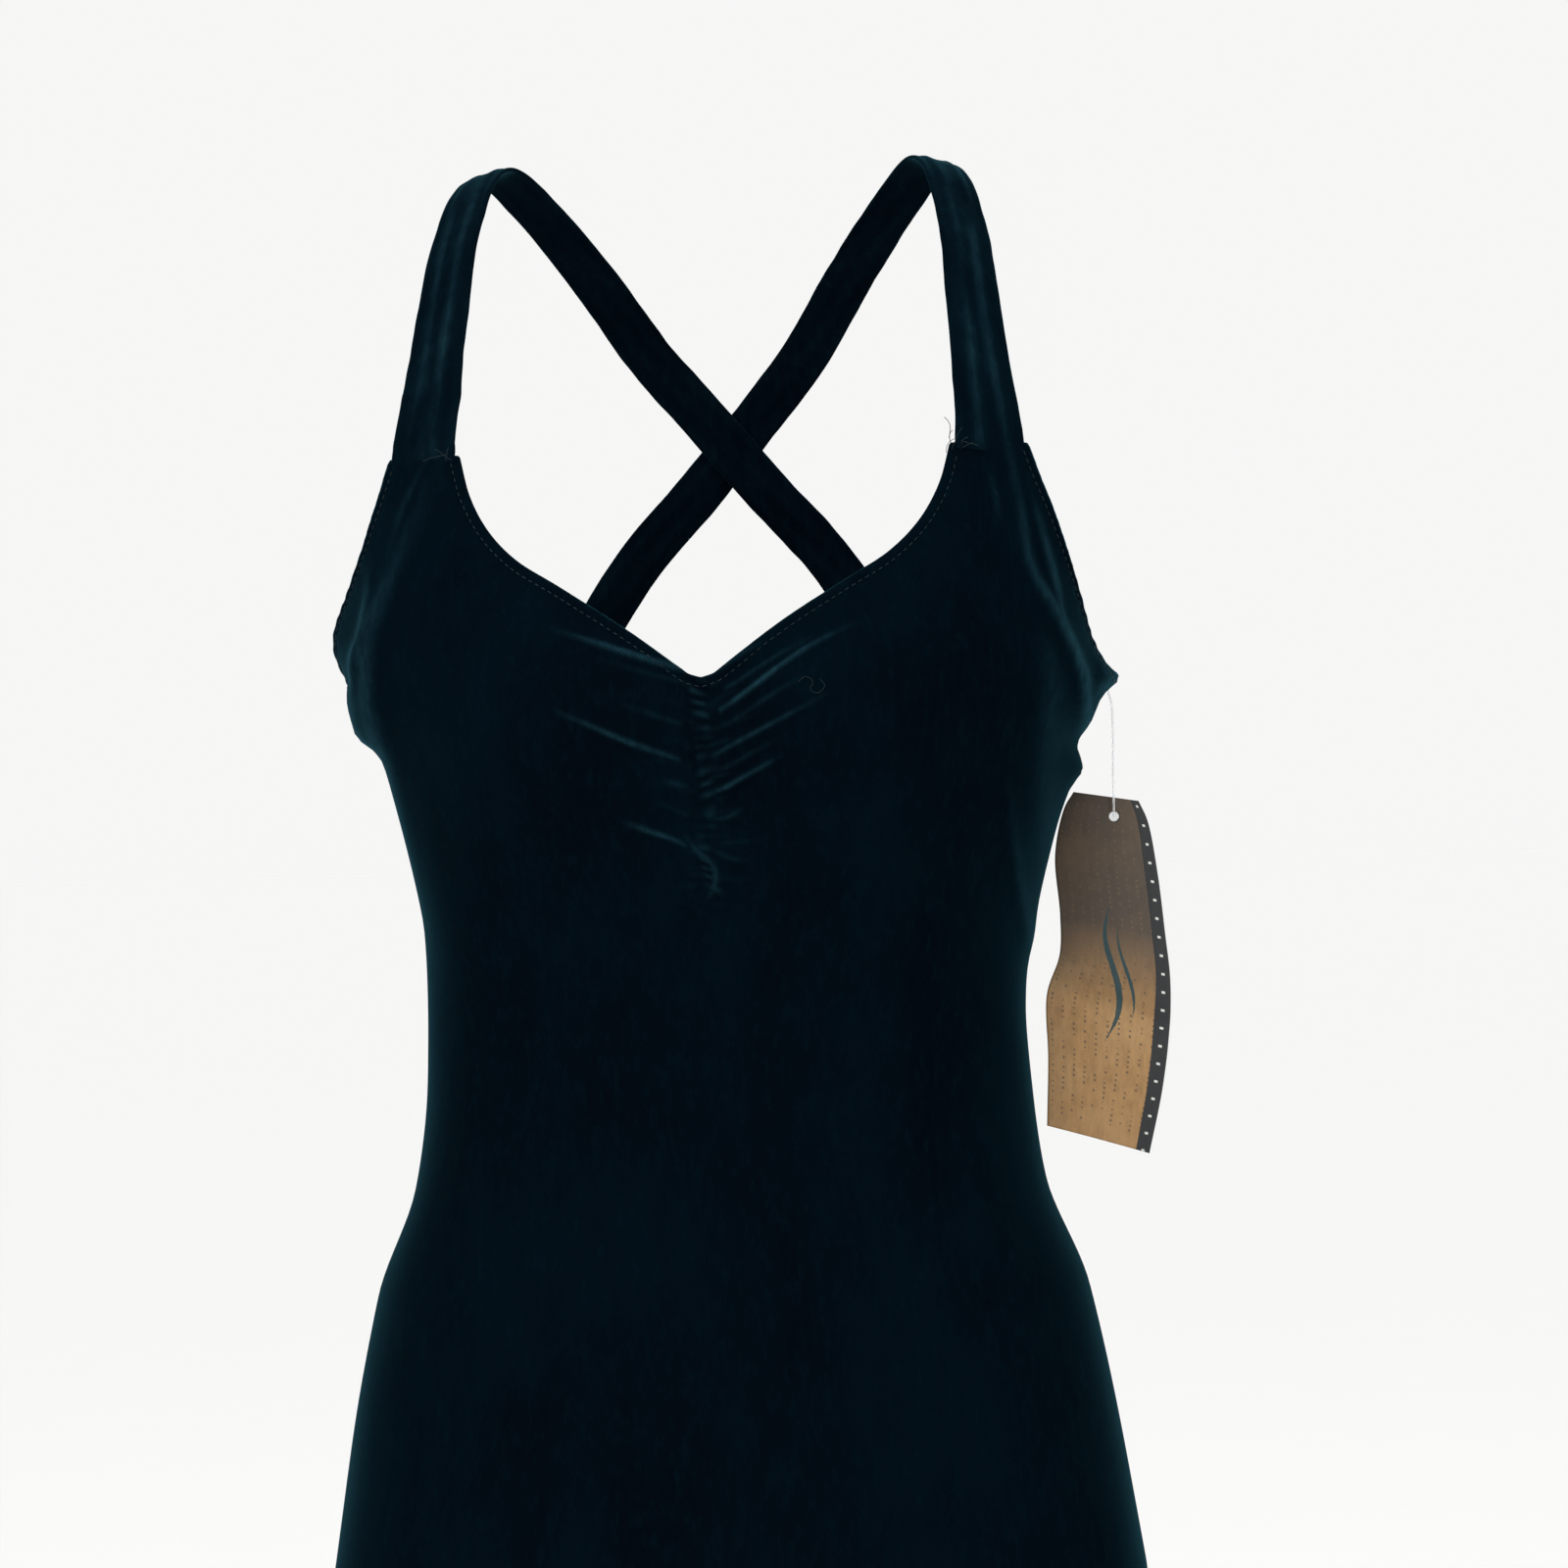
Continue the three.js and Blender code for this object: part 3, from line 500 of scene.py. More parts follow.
def hem_rise(girth, drop, facing, lines):
    """Height of the turned hem: a rolled edge, a puffed band and the sunken row of stitches."""
    tree = edge_tree(facing, lines)
    settings = bpy.context.scene.leotard_cloth
    inset = settings.stitch_inset / MM
    rise = np.zeros(len(girth))
    at = torso(girth, drop, facing)
    for i, p in enumerate(at):
        _, k, d = tree.find(p)
        if d < 3.2 * inset:
            s = k * HEM_STEP
            pucker = 0.5 + 0.5 * math.sin(s / 1.05 + 1.1 * math.sin(s / 5.3))
            puff = math.exp(-(((d - 0.5 * inset) / (0.42 * inset)) ** 2))
            sunk = math.exp(-(((d - inset) / 0.85) ** 2))
            ripple = math.exp(-(((d - 1.25 * inset) / (0.6 * inset)) ** 2)) * (pucker - 0.5)
            rise[i] = 0.5 * puff * (0.7 + 0.6 * pucker) - 0.35 * sunk + 0.3 * ripple
            rise[i] -= 0.5 * math.exp(-((d / 1.2) ** 2))
    # The edge that a strap is sewn to dips under, so that the seam lies flat.
    if facing == FRONT:
        off = np.abs(at[:, 2] - STRAP_JOIN_Z)
        rise = rise - 0.6 * np.exp(-((off / 1.4) ** 2))
    return rise


# ---- Making pieces -------------------------------------------------------------------------------


def new_piece(name, bm, body, slot, *materials):
    """A smooth-shaded object with the given materials, which moves with its body. Its slot is not
    used.
    """
    mesh = bpy.data.meshes.new(name)
    bm.to_mesh(mesh)
    bm.free()
    mesh.polygons.foreach_set("use_smooth", [True] * len(mesh.polygons))
    for material in materials:
        mesh.materials.append(material)
    piece = bpy.data.objects.new(name, mesh)
    bpy.context.scene.collection.objects.link(piece)
    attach(piece, body)
    return piece


def grid(across, down, place):
    """A sheet of faces whose corners go where place(across, down) says, in millimetres."""
    bm = bmesh.new()
    last = len(across) - 1, len(down) - 1
    bmesh.ops.create_grid(bm, x_segments=last[0], y_segments=last[1], size=1, calc_uvs=False)
    start = np.array([v.co[:2] for v in bm.verts])
    u = np.asarray(across)[np.rint((start[:, 0] + 1) / 2 * last[0]).astype(int)]
    v = np.asarray(down)[np.rint((start[:, 1] + 1) / 2 * last[1]).astype(int)]
    for vert, p in zip(bm.verts, place(u, v) * MM):
        vert.co = p
    return bm


def face_out(bm):
    """Turns an open sheet's faces away from the middle of the torso."""
    bm.normal_update()
    middle = Vector((0, 0, -0.35))
    votes = sum(f.normal.dot(f.calc_center_median() - middle) > 0 for f in bm.faces)
    if votes < len(bm.faces) / 2:
        bmesh.ops.reverse_faces(bm, faces=bm.faces)


def give_thickness(piece, thickness, inner_slot=0):
    """Thickens a sheet inwards. Its inside takes the material inner_slot places further on."""
    solid = piece.modifiers.new("Thickness", "SOLIDIFY")
    solid.thickness = thickness
    solid.offset = -1
    solid.use_rim = True
    solid.material_offset = inner_slot


def dress(node, material):
    """Gives a carried-over node its finish."""
    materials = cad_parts[node].data.materials
    materials.clear()
    materials.append(bpy.data.materials[material])


def sweep(rings, lay_and_painted_highlight=None):
    """A closed tube through rings of equally many points, in millimetres. The second argument gives
    each point its painted highlight and brushed streaks.
    """
    rings = np.asarray(rings)
    count, around = rings.shape[0], rings.shape[1]
    shine = []

    def place(u, v):
        if lay_and_painted_highlight is not None:
            shine.extend(lay_and_painted_highlight[v, u % around])
        return rings[v, u % around]

    bm = grid(np.arange(around + 1), np.arange(count), place)
    layer = bm.verts.layers.float.new("lay_and_painted_highlight")
    for vert, value in zip(bm.verts, shine):
        vert[layer] = value
    bmesh.ops.remove_doubles(bm, verts=bm.verts, dist=1e-6)
    bmesh.ops.holes_fill(bm, edges=[e for e in bm.edges if e.is_boundary], sides=0)
    bmesh.ops.recalc_face_normals(bm, faces=bm.faces)
    return bm


# ---- Materials -----------------------------------------------------------------------------------


class Finish:
    """A material under way: its nodes, and short ways to add to them."""

    def __init__(self, name):
        self.material = bpy.data.materials.new(name)
        self.material.use_nodes = True
        self.tree = self.material.node_tree
        self.shader = self.tree.nodes["Principled BSDF"]
        self.coords = self.add("ShaderNodeTexCoord").outputs["Object"]

    def add(self, kind, **settings):
        node = self.tree.nodes.new(kind)
        for key, value in settings.items():
            setattr(node, key, value)
        return node

    def join(self, start, end):
        self.tree.links.new(start, end)

    def scaled(self, x, y, z):
        mapping = self.add("ShaderNodeMapping")
        mapping.inputs["Scale"].default_value = (x, y, z)
        self.join(self.coords, mapping.inputs["Vector"])
        return mapping.outputs["Vector"]

    def noise(self, per_metre, detail=3.0, rough=0.55, stretch=None):
        node = self.add("ShaderNodeTexNoise")
        node.inputs["Scale"].default_value = per_metre
        node.inputs["Detail"].default_value = detail
        node.inputs["Roughness"].default_value = rough
        self.join(self.scaled(*stretch) if stretch else self.coords, node.inputs["Vector"])
        return node.outputs["Fac"]

    def wave(self, per_metre, direction, distortion):
        node = self.add("ShaderNodeTexWave", wave_type="BANDS", bands_direction=direction)
        node.inputs["Scale"].default_value = per_metre
        node.inputs["Distortion"].default_value = distortion
        node.inputs["Detail"].default_value = 2
        self.join(self.coords, node.inputs["Vector"])
        return node.outputs["Fac"]

    def math(self, operation, a, b=None):
        node = self.add("ShaderNodeMath", operation=operation)
        for value, socket in zip((a, b), node.inputs):
            if value is None:
                continue
            if isinstance(value, (int, float)):
                socket.default_value = value
            else:
                self.join(value, socket)
        return node.outputs["Value"]

    def mix(self, share, a, b):
        node = self.add("ShaderNodeMix", data_type="RGBA")
        for value, socket in zip((share, a, b), (node.inputs[0], node.inputs[6], node.inputs[7])):
            if isinstance(value, bpy.types.NodeSocket):
                self.join(value, socket)
            elif isinstance(value, (int, float)):
                socket.default_value = value
            else:
                socket.default_value = (*value[:3], 1)
        return node.outputs[2]

    def ramp(self, share, low, high, low_at=0.0, high_at=1.0):
        node = self.add("ShaderNodeMapRange")
        node.inputs["From Min"].default_value = low_at
        node.inputs["From Max"].default_value = high_at
        node.inputs["To Min"].default_value = low
        node.inputs["To Max"].default_value = high
        self.join(share, node.inputs["Value"])
        return node.outputs["Result"]

    def colour(self, value):
        self.join(value, self.shader.inputs["Base Color"])

    def roughness(self, value):
        self.join(value, self.shader.inputs["Roughness"])

    def bump(self, height, distance, strength=1.0, under=None):
        node = self.add("ShaderNodeBump")
        node.inputs["Distance"].default_value = distance
        node.inputs["Strength"].default_value = strength
        self.join(height, node.inputs["Height"])
        if under is not None:
            self.join(under, node.inputs["Normal"])
        self.join(node.outputs["Normal"], self.shader.inputs["Normal"])
        return node.outputs["Normal"]

    def sheen(self, weight, rough, tint):
        self.shader.inputs["Sheen Weight"].default_value = weight
        self.shader.inputs["Sheen Roughness"].default_value = rough
        self.shader.inputs["Sheen Tint"].default_value = (*tint, 1)


def velvet_finish(settings):
    """Short pile: almost black face on, teal where the pile is seen from the side."""
    f = Finish("velvet_pile")
    nap = f.noise(22, 3, 0.6, stretch=(1, 1, 0.5))
    pile = f.noise(2600, 2, 0.7)
    lay_and_painted_highlight = f.noise(300, 3, 0.65, stretch=(1, 1, 0.4))
    # Painted highlight: a vertex attribute, high on the fold crests, lightens the colour towards the
    # crease highlight colour, mottled by the lay noise.
    crest_highlight = f.add("ShaderNodeAttribute", attribute_name="lay_and_painted_highlight").outputs["Fac"]
    mixed = f.mix(f.ramp(nap, 0, 0.35, 0.38, 0.7), settings.velvet_colour, settings.velvet_light)
    mixed = f.mix(f.ramp(lay_and_painted_highlight, 0, 0.4, 0.5, 0.78), mixed, settings.velvet_light)
    mottled_crest_highlight = f.math("MULTIPLY", crest_highlight, f.ramp(lay_and_painted_highlight, 0.55, 1.0, 0.35, 0.6))
    mixed = f.mix(mottled_crest_highlight, mixed, settings.velvet_crease_highlight)
    f.colour(mixed)
    f.roughness(f.ramp(pile, 0.7, 0.95, 0.3, 0.7))
    f.shader.inputs["Specular IOR Level"].default_value = 0.0
    f.sheen(0.22, 0.3, settings.velvet_sheen)
    soft = f.bump(lay_and_painted_highlight, 0.0005, 0.15)
    f.bump(pile, 0.00025, 0.55, under=soft)
    return f.material


def velvet_back_finish():
    """The knitted back of the velvet, with fine ribs and little sheen."""
    f = Finish("velvet_knit_back")
    ribs = f.wave(420, "X", 1.2)
    fuzz = f.noise(900, 2, 0.6)
    f.colour(f.mix(fuzz, (0.006, 0.014, 0.02), (0.012, 0.026, 0.034)))
    f.roughness(f.ramp(fuzz, 0.7, 0.95))
    f.sheen(0.25, 0.5, (0.5, 0.7, 0.8))
    f.bump(f.math("ADD", f.math("MULTIPLY", ribs, 0.6), fuzz), 0.0002, 0.5)
    return f.material


def elastic_finish():
    """Woven elastic: ribs along the band, with cross threads."""
    f = Finish("woven_elastic")
    ribs = f.wave(520, "Z", 0.6)
    cross = f.wave(760, "X", 0.8)
    fuzz = f.noise(700, 2)
    f.colour(f.mix(ribs, (0.008, 0.009, 0.011), (0.03, 0.032, 0.036)))
    f.roughness(f.ramp(fuzz, 0.55, 0.85))
    f.bump(f.math("ADD", ribs, f.math("MULTIPLY", cross, 0.5)), 0.00025, 0.7)
    return f.material


def lining_finish():
    """Smooth warp-knit lining with a slight shine along its ribs."""
    f = Finish("lining_knit")
    ribs = f.wave(640, "X", 0.4)
    fuzz = f.noise(420, 2)
    f.colour(f.mix(fuzz, (0.005, 0.009, 0.013), (0.01, 0.016, 0.021)))
    f.roughness(f.ramp(ribs, 0.4, 0.62))
    f.shader.inputs["Specular IOR Level"].default_value = 0.25
    f.sheen(0.08, 0.4, (0.5, 0.8, 0.9))
    f.bump(ribs, 0.00015, 0.5)
    return f.material


def cotton_finish():
    """Matt cotton jersey for the gusset."""
    f = Finish("cotton_jersey")
    ribs = f.wave(380, "X", 1.5)
    fuzz = f.noise(1100, 3, 0.7)
    f.colour(f.mix(fuzz, (0.018, 0.021, 0.024), (0.04, 0.044, 0.048)))
    f.roughness(f.ramp(fuzz, 0.85, 1.0))
    f.bump(f.math("ADD", ribs, fuzz), 0.0003, 0.5)
    return f.material


def overlock_finish():
    """Looped overlock thread round the seam allowance."""
    f = Finish("overlock_thread")
    loops = f.wave(330, "Z", 2.2)
    twist = f.noise(1500, 2)
    f.colour(f.mix(loops, (0.006, 0.012, 0.018), (0.02, 0.04, 0.05)))
    f.roughness(f.ramp(twist, 0.5, 0.8))
    f.bump(loops, 0.0005, 0.9)
    return f.material


def thread_finish(settings):
    """Twisted polyester sewing thread."""
    f = Finish("sewing_thread")
    twist = f.noise(1800, 2, 0.6)
    f.colour(f.mix(twist, (0.002, 0.008, 0.011), settings.thread_colour))
    f.roughness(f.ramp(twist, 0.35, 0.6))
    f.shader.inputs["Specular IOR Level"].default_value = 0.15
    f.sheen(0.1, 0.3, (0.3, 0.8, 0.9))
    f.bump(twist, 0.0001, 0.5)
    return f.material


def satin_finish():
    """Woven satin ribbon for the blank labels."""
    f = Finish("satin_label")
    weft = f.wave(900, "Z", 0.3)
    slub = f.noise(240, 3, 0.6, stretch=(0.3, 0.3, 3))
    f.colour(f.mix(slub, (0.72, 0.71, 0.66), (0.86, 0.85, 0.8)))
    f.roughness(f.ramp(weft, 0.28, 0.5))
    f.bump(weft, 0.0001, 0.4)
    return f.material


def nylon_finish():
    """Clear moulded nylon, slightly milky."""
    f = Finish("clear_nylon")
    cloud = f.noise(300, 2)
    f.colour(f.mix(cloud, (0.86, 0.88, 0.9), (0.95, 0.96, 0.97)))
    f.roughness(f.ramp(cloud, 0.12, 0.28))
    f.shader.inputs["Transmission Weight"].default_value = 0.75
    f.shader.inputs["IOR"].default_value = 1.5
    f.bump(cloud, 0.00005, 0.3)
    return f.material


# ---- Settings ------------------------------------------------------------------------------------


def a_length(name, about, size, low, high):
    """A setting for a length, given in millimetres."""
    return FloatProperty(name=name, description=about, default=size * MM, min=low * MM,
                         max=high * MM, unit="LENGTH", precision=5)


def a_colour(name, about, colour):
    return FloatVectorProperty(name=name, description=about, default=colour, min=0, max=1,
                               subtype="COLOR", size=3)


class LeotardClothSettings(bpy.types.PropertyGroup):
    """Sizes and colours of the garment."""

    velvet_thickness: a_length("Velvet thickness", "Thickness of the stretch velvet, pile and all",
                               1.2, 0.5, 3)
    fold_height: FloatProperty(
        name="Fold height", description="How far folds stand out, as a share of their own heights",
        default=1.0, min=0.0, max=2.0, subtype="FACTOR")
    hem_width: a_length("Elastic width", "Width of the elastic inside each hem", 7, 3, 15)
    stitch_inset: a_length("Stitch inset", "Distance of the topstitching from the edge", 4, 2, 10)
    stitch_length: a_length("Stitch length", "Length of one stitch", 2.3, 1, 6)
    stitch_gap: a_length("Stitch gap", "Gap between two stitches", 0.9, 0.2, 4)
    strap_width: a_length("Strap width", "Width of a strap over the shoulder", 20.4, 8, 40)
    velvet_colour: a_colour("Velvet", "Colour of the pile seen end on", (0.0006, 0.0018, 0.0036))
    velvet_light: a_colour("Velvet, brushed", "Colour where the pile lies over",
                           (0.0008, 0.0056, 0.0095))
    # Painted highlight colour laid on the fold crests.
    velvet_crease_highlight: a_colour("Velvet, creased", "Colour where a crease parts the pile",
                            (0.0066, 0.024, 0.034))
    velvet_sheen: a_colour("Velvet sheen", "Colour of the pile seen from the side",
                           (0.1, 0.36, 0.47))
    thread_colour: a_colour("Thread", "Colour of the sewing thread", (0.002, 0.009, 0.013))


class LeotardTagSettings(bpy.types.PropertyGroup):
    """Sizes and colours of the hang tag."""

    thickness: a_length("Card thickness", "Thickness of the card", 0.6, 0.2, 2)
    stripe_width: a_length("Stripe width", "Width of the dark stripe down one edge", 6.5, 1, 20)
    card_colour: a_colour("Card", "Colour of the card", (0.304, 0.168, 0.06))
    print_colour: a_colour("Print", "Colour of the small print", (0.09, 0.055, 0.03))
    flourish_colour: a_colour("Flourish", "Colour of the brushed line", (0.002, 0.03, 0.036))


class LeotardStageSettings(bpy.types.PropertyGroup):
    """Floor, light and camera."""

    floor_colour: a_colour("Floor", "Colour of the floor and of what is behind",
                           (0.95, 0.95, 0.945))
    floor_drop: FloatProperty(
        name="Floor drop", description="How far the floor is below the shoulders", default=1.35,
        min=0.7, max=3, unit="LENGTH")
    key_power: FloatProperty(
        name="Key light", description="Power of the main light", default=42, min=0, max=500,
        unit="POWER")
    camera_distance: FloatProperty(
        name="Camera distance", description="From the camera to the garment", default=1.8, min=0.5,
        max=6, unit="LENGTH")
    camera_turn: FloatProperty(
        name="Camera turn", description="How far round to the wearer's left the camera stands",
        default=math.radians(3.5), min=-math.pi, max=math.pi, subtype="ANGLE")


# ---- Operators -----------------------------------------------------------------------------------


def both_ways(half):
    """Shares from one side to the other, from shares out from the centre line."""
    return np.concatenate([-half[::-1], half[1:]])


def make_panel(name, cut, half, down, settings):
    """One velvet panel, turned at its edges and lying in its folds."""
    shine = []

    def place(u, v):
        girth, drop = cut.at(u, v)
        x, y, z = torso(girth, drop, cut.facing).T
        # A painted highlight along the fold crests, kept as a vertex attribute for the velvet's
        # colour.
        shine.extend(np.clip(lie(x, y, z, cut.facing)[1] / FULL_CREASE, 0, 1))
        return cloth(girth, drop, cut.facing, extra=hem_rise(girth, drop, cut.facing, cut.hems()))

    bm = grid(both_ways(half), down, place)
    layer = bm.verts.layers.float.new("lay_and_painted_highlight")
    for vert, value in zip(bm.verts, shine):
        vert[layer] = value
    face_out(bm)
    velvet, inside = bpy.data.materials["velvet_pile"], bpy.data.materials["velvet_knit_back"]
    piece = new_piece(name, bm, "leotard", "velvet", velvet, inside)
    give_thickness(piece, settings.velvet_thickness, inner_slot=1)
    return piece


class LEOTARD_OT_finishes(bpy.types.Operator):
    """Makes the finishes that the pieces share"""

    bl_idname = "leotard.finishes"
    bl_label = "Finishes"

    def execute(self, context):
        settings = context.scene.leotard_cloth
        velvet_finish(settings)
        thread_finish(settings)
        for make in (velvet_back_finish, elastic_finish, lining_finish, cotton_finish,
                     overlock_finish, satin_finish, nylon_finish):
            make()
        return {"FINISHED"}


class LEOTARD_OT_front_panel(bpy.types.Operator):
    """Makes the velvet front with its gathered centre"""

    bl_idname = "leotard.front_panel"
    bl_label = "Front panel"

    def execute(self, context):
        settings = context.scene.leotard_cloth
        half = graded(190, (0, 1.0), (10, 1.1), (24, 2.0), (68, 2.2), (86, 1.5), (190, 1.45))
        down = graded(445, (0, 0.8), (85, 0.8), (110, 3.5), (200, 5), (400, 4.5), (432, 1.5),
                      (445, 1.2))
        piece = make_panel("velvet_front", FRONT_CUT, half, down, settings)
        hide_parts("front_panel")
        return {"FINISHED"}


class LEOTARD_OT_back_panel(bpy.types.Operator):
    """Makes the velvet back, scooped below the crossed straps"""

    bl_idname = "leotard.back_panel"
    bl_label = "Back panel"

    def execute(self, context):
        settings = context.scene.leotard_cloth
        half = graded(190, (0, 2.6), (120, 2.4), (165, 1.6), (190, 1.4))
        down = graded(400, (0, 1.1), (14, 1.3), (60, 2.2), (160, 3), (370, 3.5), (388, 1.5),
                      (400, 1.2))
        piece = make_panel("velvet_back", BACK_CUT, half, down, settings)
        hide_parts("back_panel")
        return {"FINISHED"}


def strap_stations(over):
    """The left strap's middle line with half widths, from under the front's edge to the back's."""
    raised = STRAP_THICK / 2
    join_x = (STRAP_INNER_X + STRAP_OUTER_X) / 2

    def depth(x, z, facing):
        girth, drop = to_cloth([(x, z)])
        return float(torso(girth, drop, facing)[0, 1])

    tuck = depth(BACK_TAB_X, BACK_TAB_Z, BACK) - 2.6 - raised - 1.2
    cross_y, cross_z = tuck + 4, BACK_TAB_Z * 0.56
    wide = bpy.context.scene.leotard_cloth.strap_width / MM / 2
    join_y = depth(join_x, STRAP_JOIN_Z, FRONT)
    return [
        (join_x, join_y + raised - 0.7, STRAP_JOIN_Z - 4, 15.4),
        (join_x, join_y + raised + 0.2, STRAP_JOIN_Z, 15.4),
        (join_x - 0.1, join_y + raised + 1.2, STRAP_JOIN_Z + 4, 14.7),
        (join_x - 0.5, join_y + raised + 3.7, STRAP_JOIN_Z + 14, 13.2),
        (108.6, -52, STRAP_JOIN_Z + 31, wide + 1.6),
        (105.6, -40, -57, wide + 0.8),
        (102.5, -26, -30, wide),
        (96, -8, -7, wide),
        (88, 11, raised, wide),
        (74, 33, -11, wide),
        (53, 56, -38, wide),
        (32, cross_y - 9, cross_z + 38, wide),
        (15, cross_y + over, cross_z + 18, wide),
        (0, cross_y + over, cross_z, wide),
        (-15, cross_y + over, cross_z - 18, wide),
        (-BACK_TAB_X * 0.6, cross_y - 1, (cross_z + BACK_TAB_Z) / 2 - 4, wide),
        (-BACK_TAB_X + 6, tuck, BACK_TAB_Z + 6, wide),
        (-BACK_TAB_X - 2, tuck - 0.4, BACK_TAB_Z - 13, wide),
    ]


def strap_rings(stations, side, seed):
    """Rings of a flat velvet tube, creased along its length, its edges drawn in by its elastic."""
    steps, around = 240, 52
    rows = smooth_line(stations, steps)
    free = np.clip((rows[:, 2] + 112) / 20, 0, 1) * np.clip(-rows[:, 1] / 20, 0, 1)
    rows[:, 3] += (1.3 if side < 0 else 0.8) * free  # the wearer's right strap lies a little wider
    rows[:, 0] -= (1.8 if side < 0 else 0.9) * free
    centre, wide = rows[:, :3], rows[:, 3]
    ahead = np.gradient(centre, axis=0)
    ahead /= np.linalg.norm(ahead, axis=1, keepdims=True)
    # Each ring faces away from a place inside the shoulder, except where it is sewn to the front.
    core = np.stack(
        [centre[:, 0] * 0.75, np.full(len(centre), 12.0), np.minimum(centre[:, 2], -90)], axis=1)
    out = centre - core
    out /= np.linalg.norm(out, axis=1, keepdims=True)
    a, b = (np.array([x, 0, 0]) for x in (STRAP_INNER_X, STRAP_OUTER_X))
    for p in (a, b):
        girth, drop = to_cloth([(p[0], STRAP_JOIN_Z)])
        p[1] = torso(girth, drop, FRONT)[0, 1]
    join_out = np.array([b[1] - a[1], a[0] - b[0], 0.0])
    join_out /= np.linalg.norm(join_out)
    free = np.clip(np.arange(len(centre)) / (0.2 * steps), 0, 1)[:, None]
    out = out * free + join_out * (1 - free)
    out -= ahead * (out * ahead).sum(1, keepdims=True)
    out /= np.linalg.norm(out, axis=1, keepdims=True)
    across = np.cross(ahead, out)
    run = run_of(centre)
    rng = np.random.RandomState(seed)
    phase = rng.uniform(0, 6, 6)
    turn = np.linspace(0, 2 * np.pi, around, endpoint=False)
    u = np.sign(np.cos(turn)) * np.abs(np.cos(turn)) ** 0.8
    h = np.sign(np.sin(turn)) * np.abs(np.sin(turn)) ** 0.65
    rings, lay_and_painted_highlight = [], []
    for i, s in enumerate(run):
        drawn = 0.12 * np.sin(s / 1.9 + phase[0]) + 0.2 * np.sin(s / 4.3 + phase[1])
        half = wide[i] - 0.35 + 0.6 * drawn * (0.6 + 0.4 * math.sin(s / 17 + phase[2]))
        wander = 0.09 * math.sin(s / 38 + phase[3])
        face = (
            0.55 * np.exp(-(((u - 0.42 - wander) / 0.12) ** 2))
            + 0.6 * np.exp(-(((u + 0.38 + wander) / 0.14) ** 2))
            + 0.35 * np.exp(-(((u - 0.05 + 1.5 * wander) / 0.1) ** 2)) * math.sin(s / 31 + phase[4])
            - 0.45 * np.exp(-(((np.abs(u) - 0.72) / 0.07) ** 2))
            + 0.03 * np.sin(s / 2.4 + 3 * u + phase[5])
        )
        face = np.where(h > 0, face, 0.4 * face) * np.abs(h) * min(1, 0.4 + s / 10)
        thick = STRAP_THICK / 2 * h + np.sign(h) * face * 0.75
        rings.append(centre[i] + np.outer(u * half, across[i]) + np.outer(thick, out[i]))
        # The outer face's crease crests get a painted highlight, mottled by brushed streaks; faint
        # streaks run all over.
        streaks = 0.5 + 0.5 * np.sin(s / 13 + 5 * u + phase[0]) * np.sin(s / 29 - 3 * u + phase[2])
        lay_and_painted_highlight.append(np.clip(face * 0.9, 0, 1) * streaks * (h > 0) + 0.08 * streaks)
    rings = np.array(rings)
    rings[..., 0] *= side
    return rings, np.array(lay_and_painted_highlight)


class LEOTARD_OT_straps(bpy.types.Operator):
    """Makes the two straps, which cross at the back"""

    bl_idname = "leotard.straps"
    bl_label = "Straps"

    def execute(self, context):
        crossing = STRAP_THICK / 2 + 0.8
        for name, side, over, seed in (("left", 1, crossing, 3), ("right", -1, -crossing, 8)):
            bm = sweep(*strap_rings(strap_stations(over), side, seed))
            piece = new_piece(f"velvet_strap_{name}", bm, "leotard", "velvet",
                              bpy.data.materials["velvet_pile"])
            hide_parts(f"strap_{name}", f"strap_elastic_{name}")
        return {"FINISHED"}


def band(line, facing, width, inset):
    """Corners of a strip that runs along a cut line inside the cloth."""
    places, into = strip_frame(line, facing)

    def place(u, v):
        k = np.asarray(u, int)
        spot = places[k] + into[k] * np.asarray(v)[:, None]
        girth = np.clip(spot[:, 0], -SIDE, SIDE)
        return cloth(girth, spot[:, 1], facing, inset=inset)

    shares = np.linspace(0.6, width, 5)
    return grid(np.arange(len(line)), shares, place)


class LEOTARD_OT_elastics(bpy.types.Operator):
    """Makes the elastics inside the hems of the neck, arms and legs"""

    bl_idname = "leotard.elastics"
    bl_label = "Elastics"

    def execute(self, context):
        width = context.scene.leotard_cloth.hem_width / MM
        material = bpy.data.materials["woven_elastic"]

        def make(name, node, runs):
            whole = bmesh.new()
            for line, facing in runs:
                bm = band(line, facing, width, ELASTIC_UNDER)
                part = bpy.data.meshes.new("part")
                bm.to_mesh(part)
                bm.free()
                whole.from_mesh(part)
                bpy.data.meshes.remove(part)
            bmesh.ops.remove_doubles(whole, verts=whole.verts, dist=0.0006)
            bmesh.ops.recalc_face_normals(whole, faces=whole.faces)
            face_out(whole)
            piece = new_piece(name, whole, "leotard", "elastic", material)
            give_thickness(piece, ELASTIC_THICK * MM)
            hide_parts(node)

        make("elastic_neck_front", "neck_elastic_front", [(both_halves(FRONT_NECK), FRONT)])
        make("elastic_neck_back", "neck_elastic_back", [(both_halves(BACK_NECK), BACK)])
        for name, side in (("left", 1), ("right", -1)):
            def turned(line):
                return line if side > 0 else mirrored(line[::-1])

            make(f"elastic_arm_{name}", f"armhole_elastic_{name}",
                 [(turned(FRONT_ARM), FRONT), (turned(BACK_ARM), BACK)])
            make(f"elastic_leg_{name}", f"leg_elastic_{name}",
                 [(turned(FRONT_LEG[::-1]), FRONT), (turned(BACK_LEG[::-1]), BACK)])
        dress("pinch_elastic", "woven_elastic")
        return {"FINISHED"}


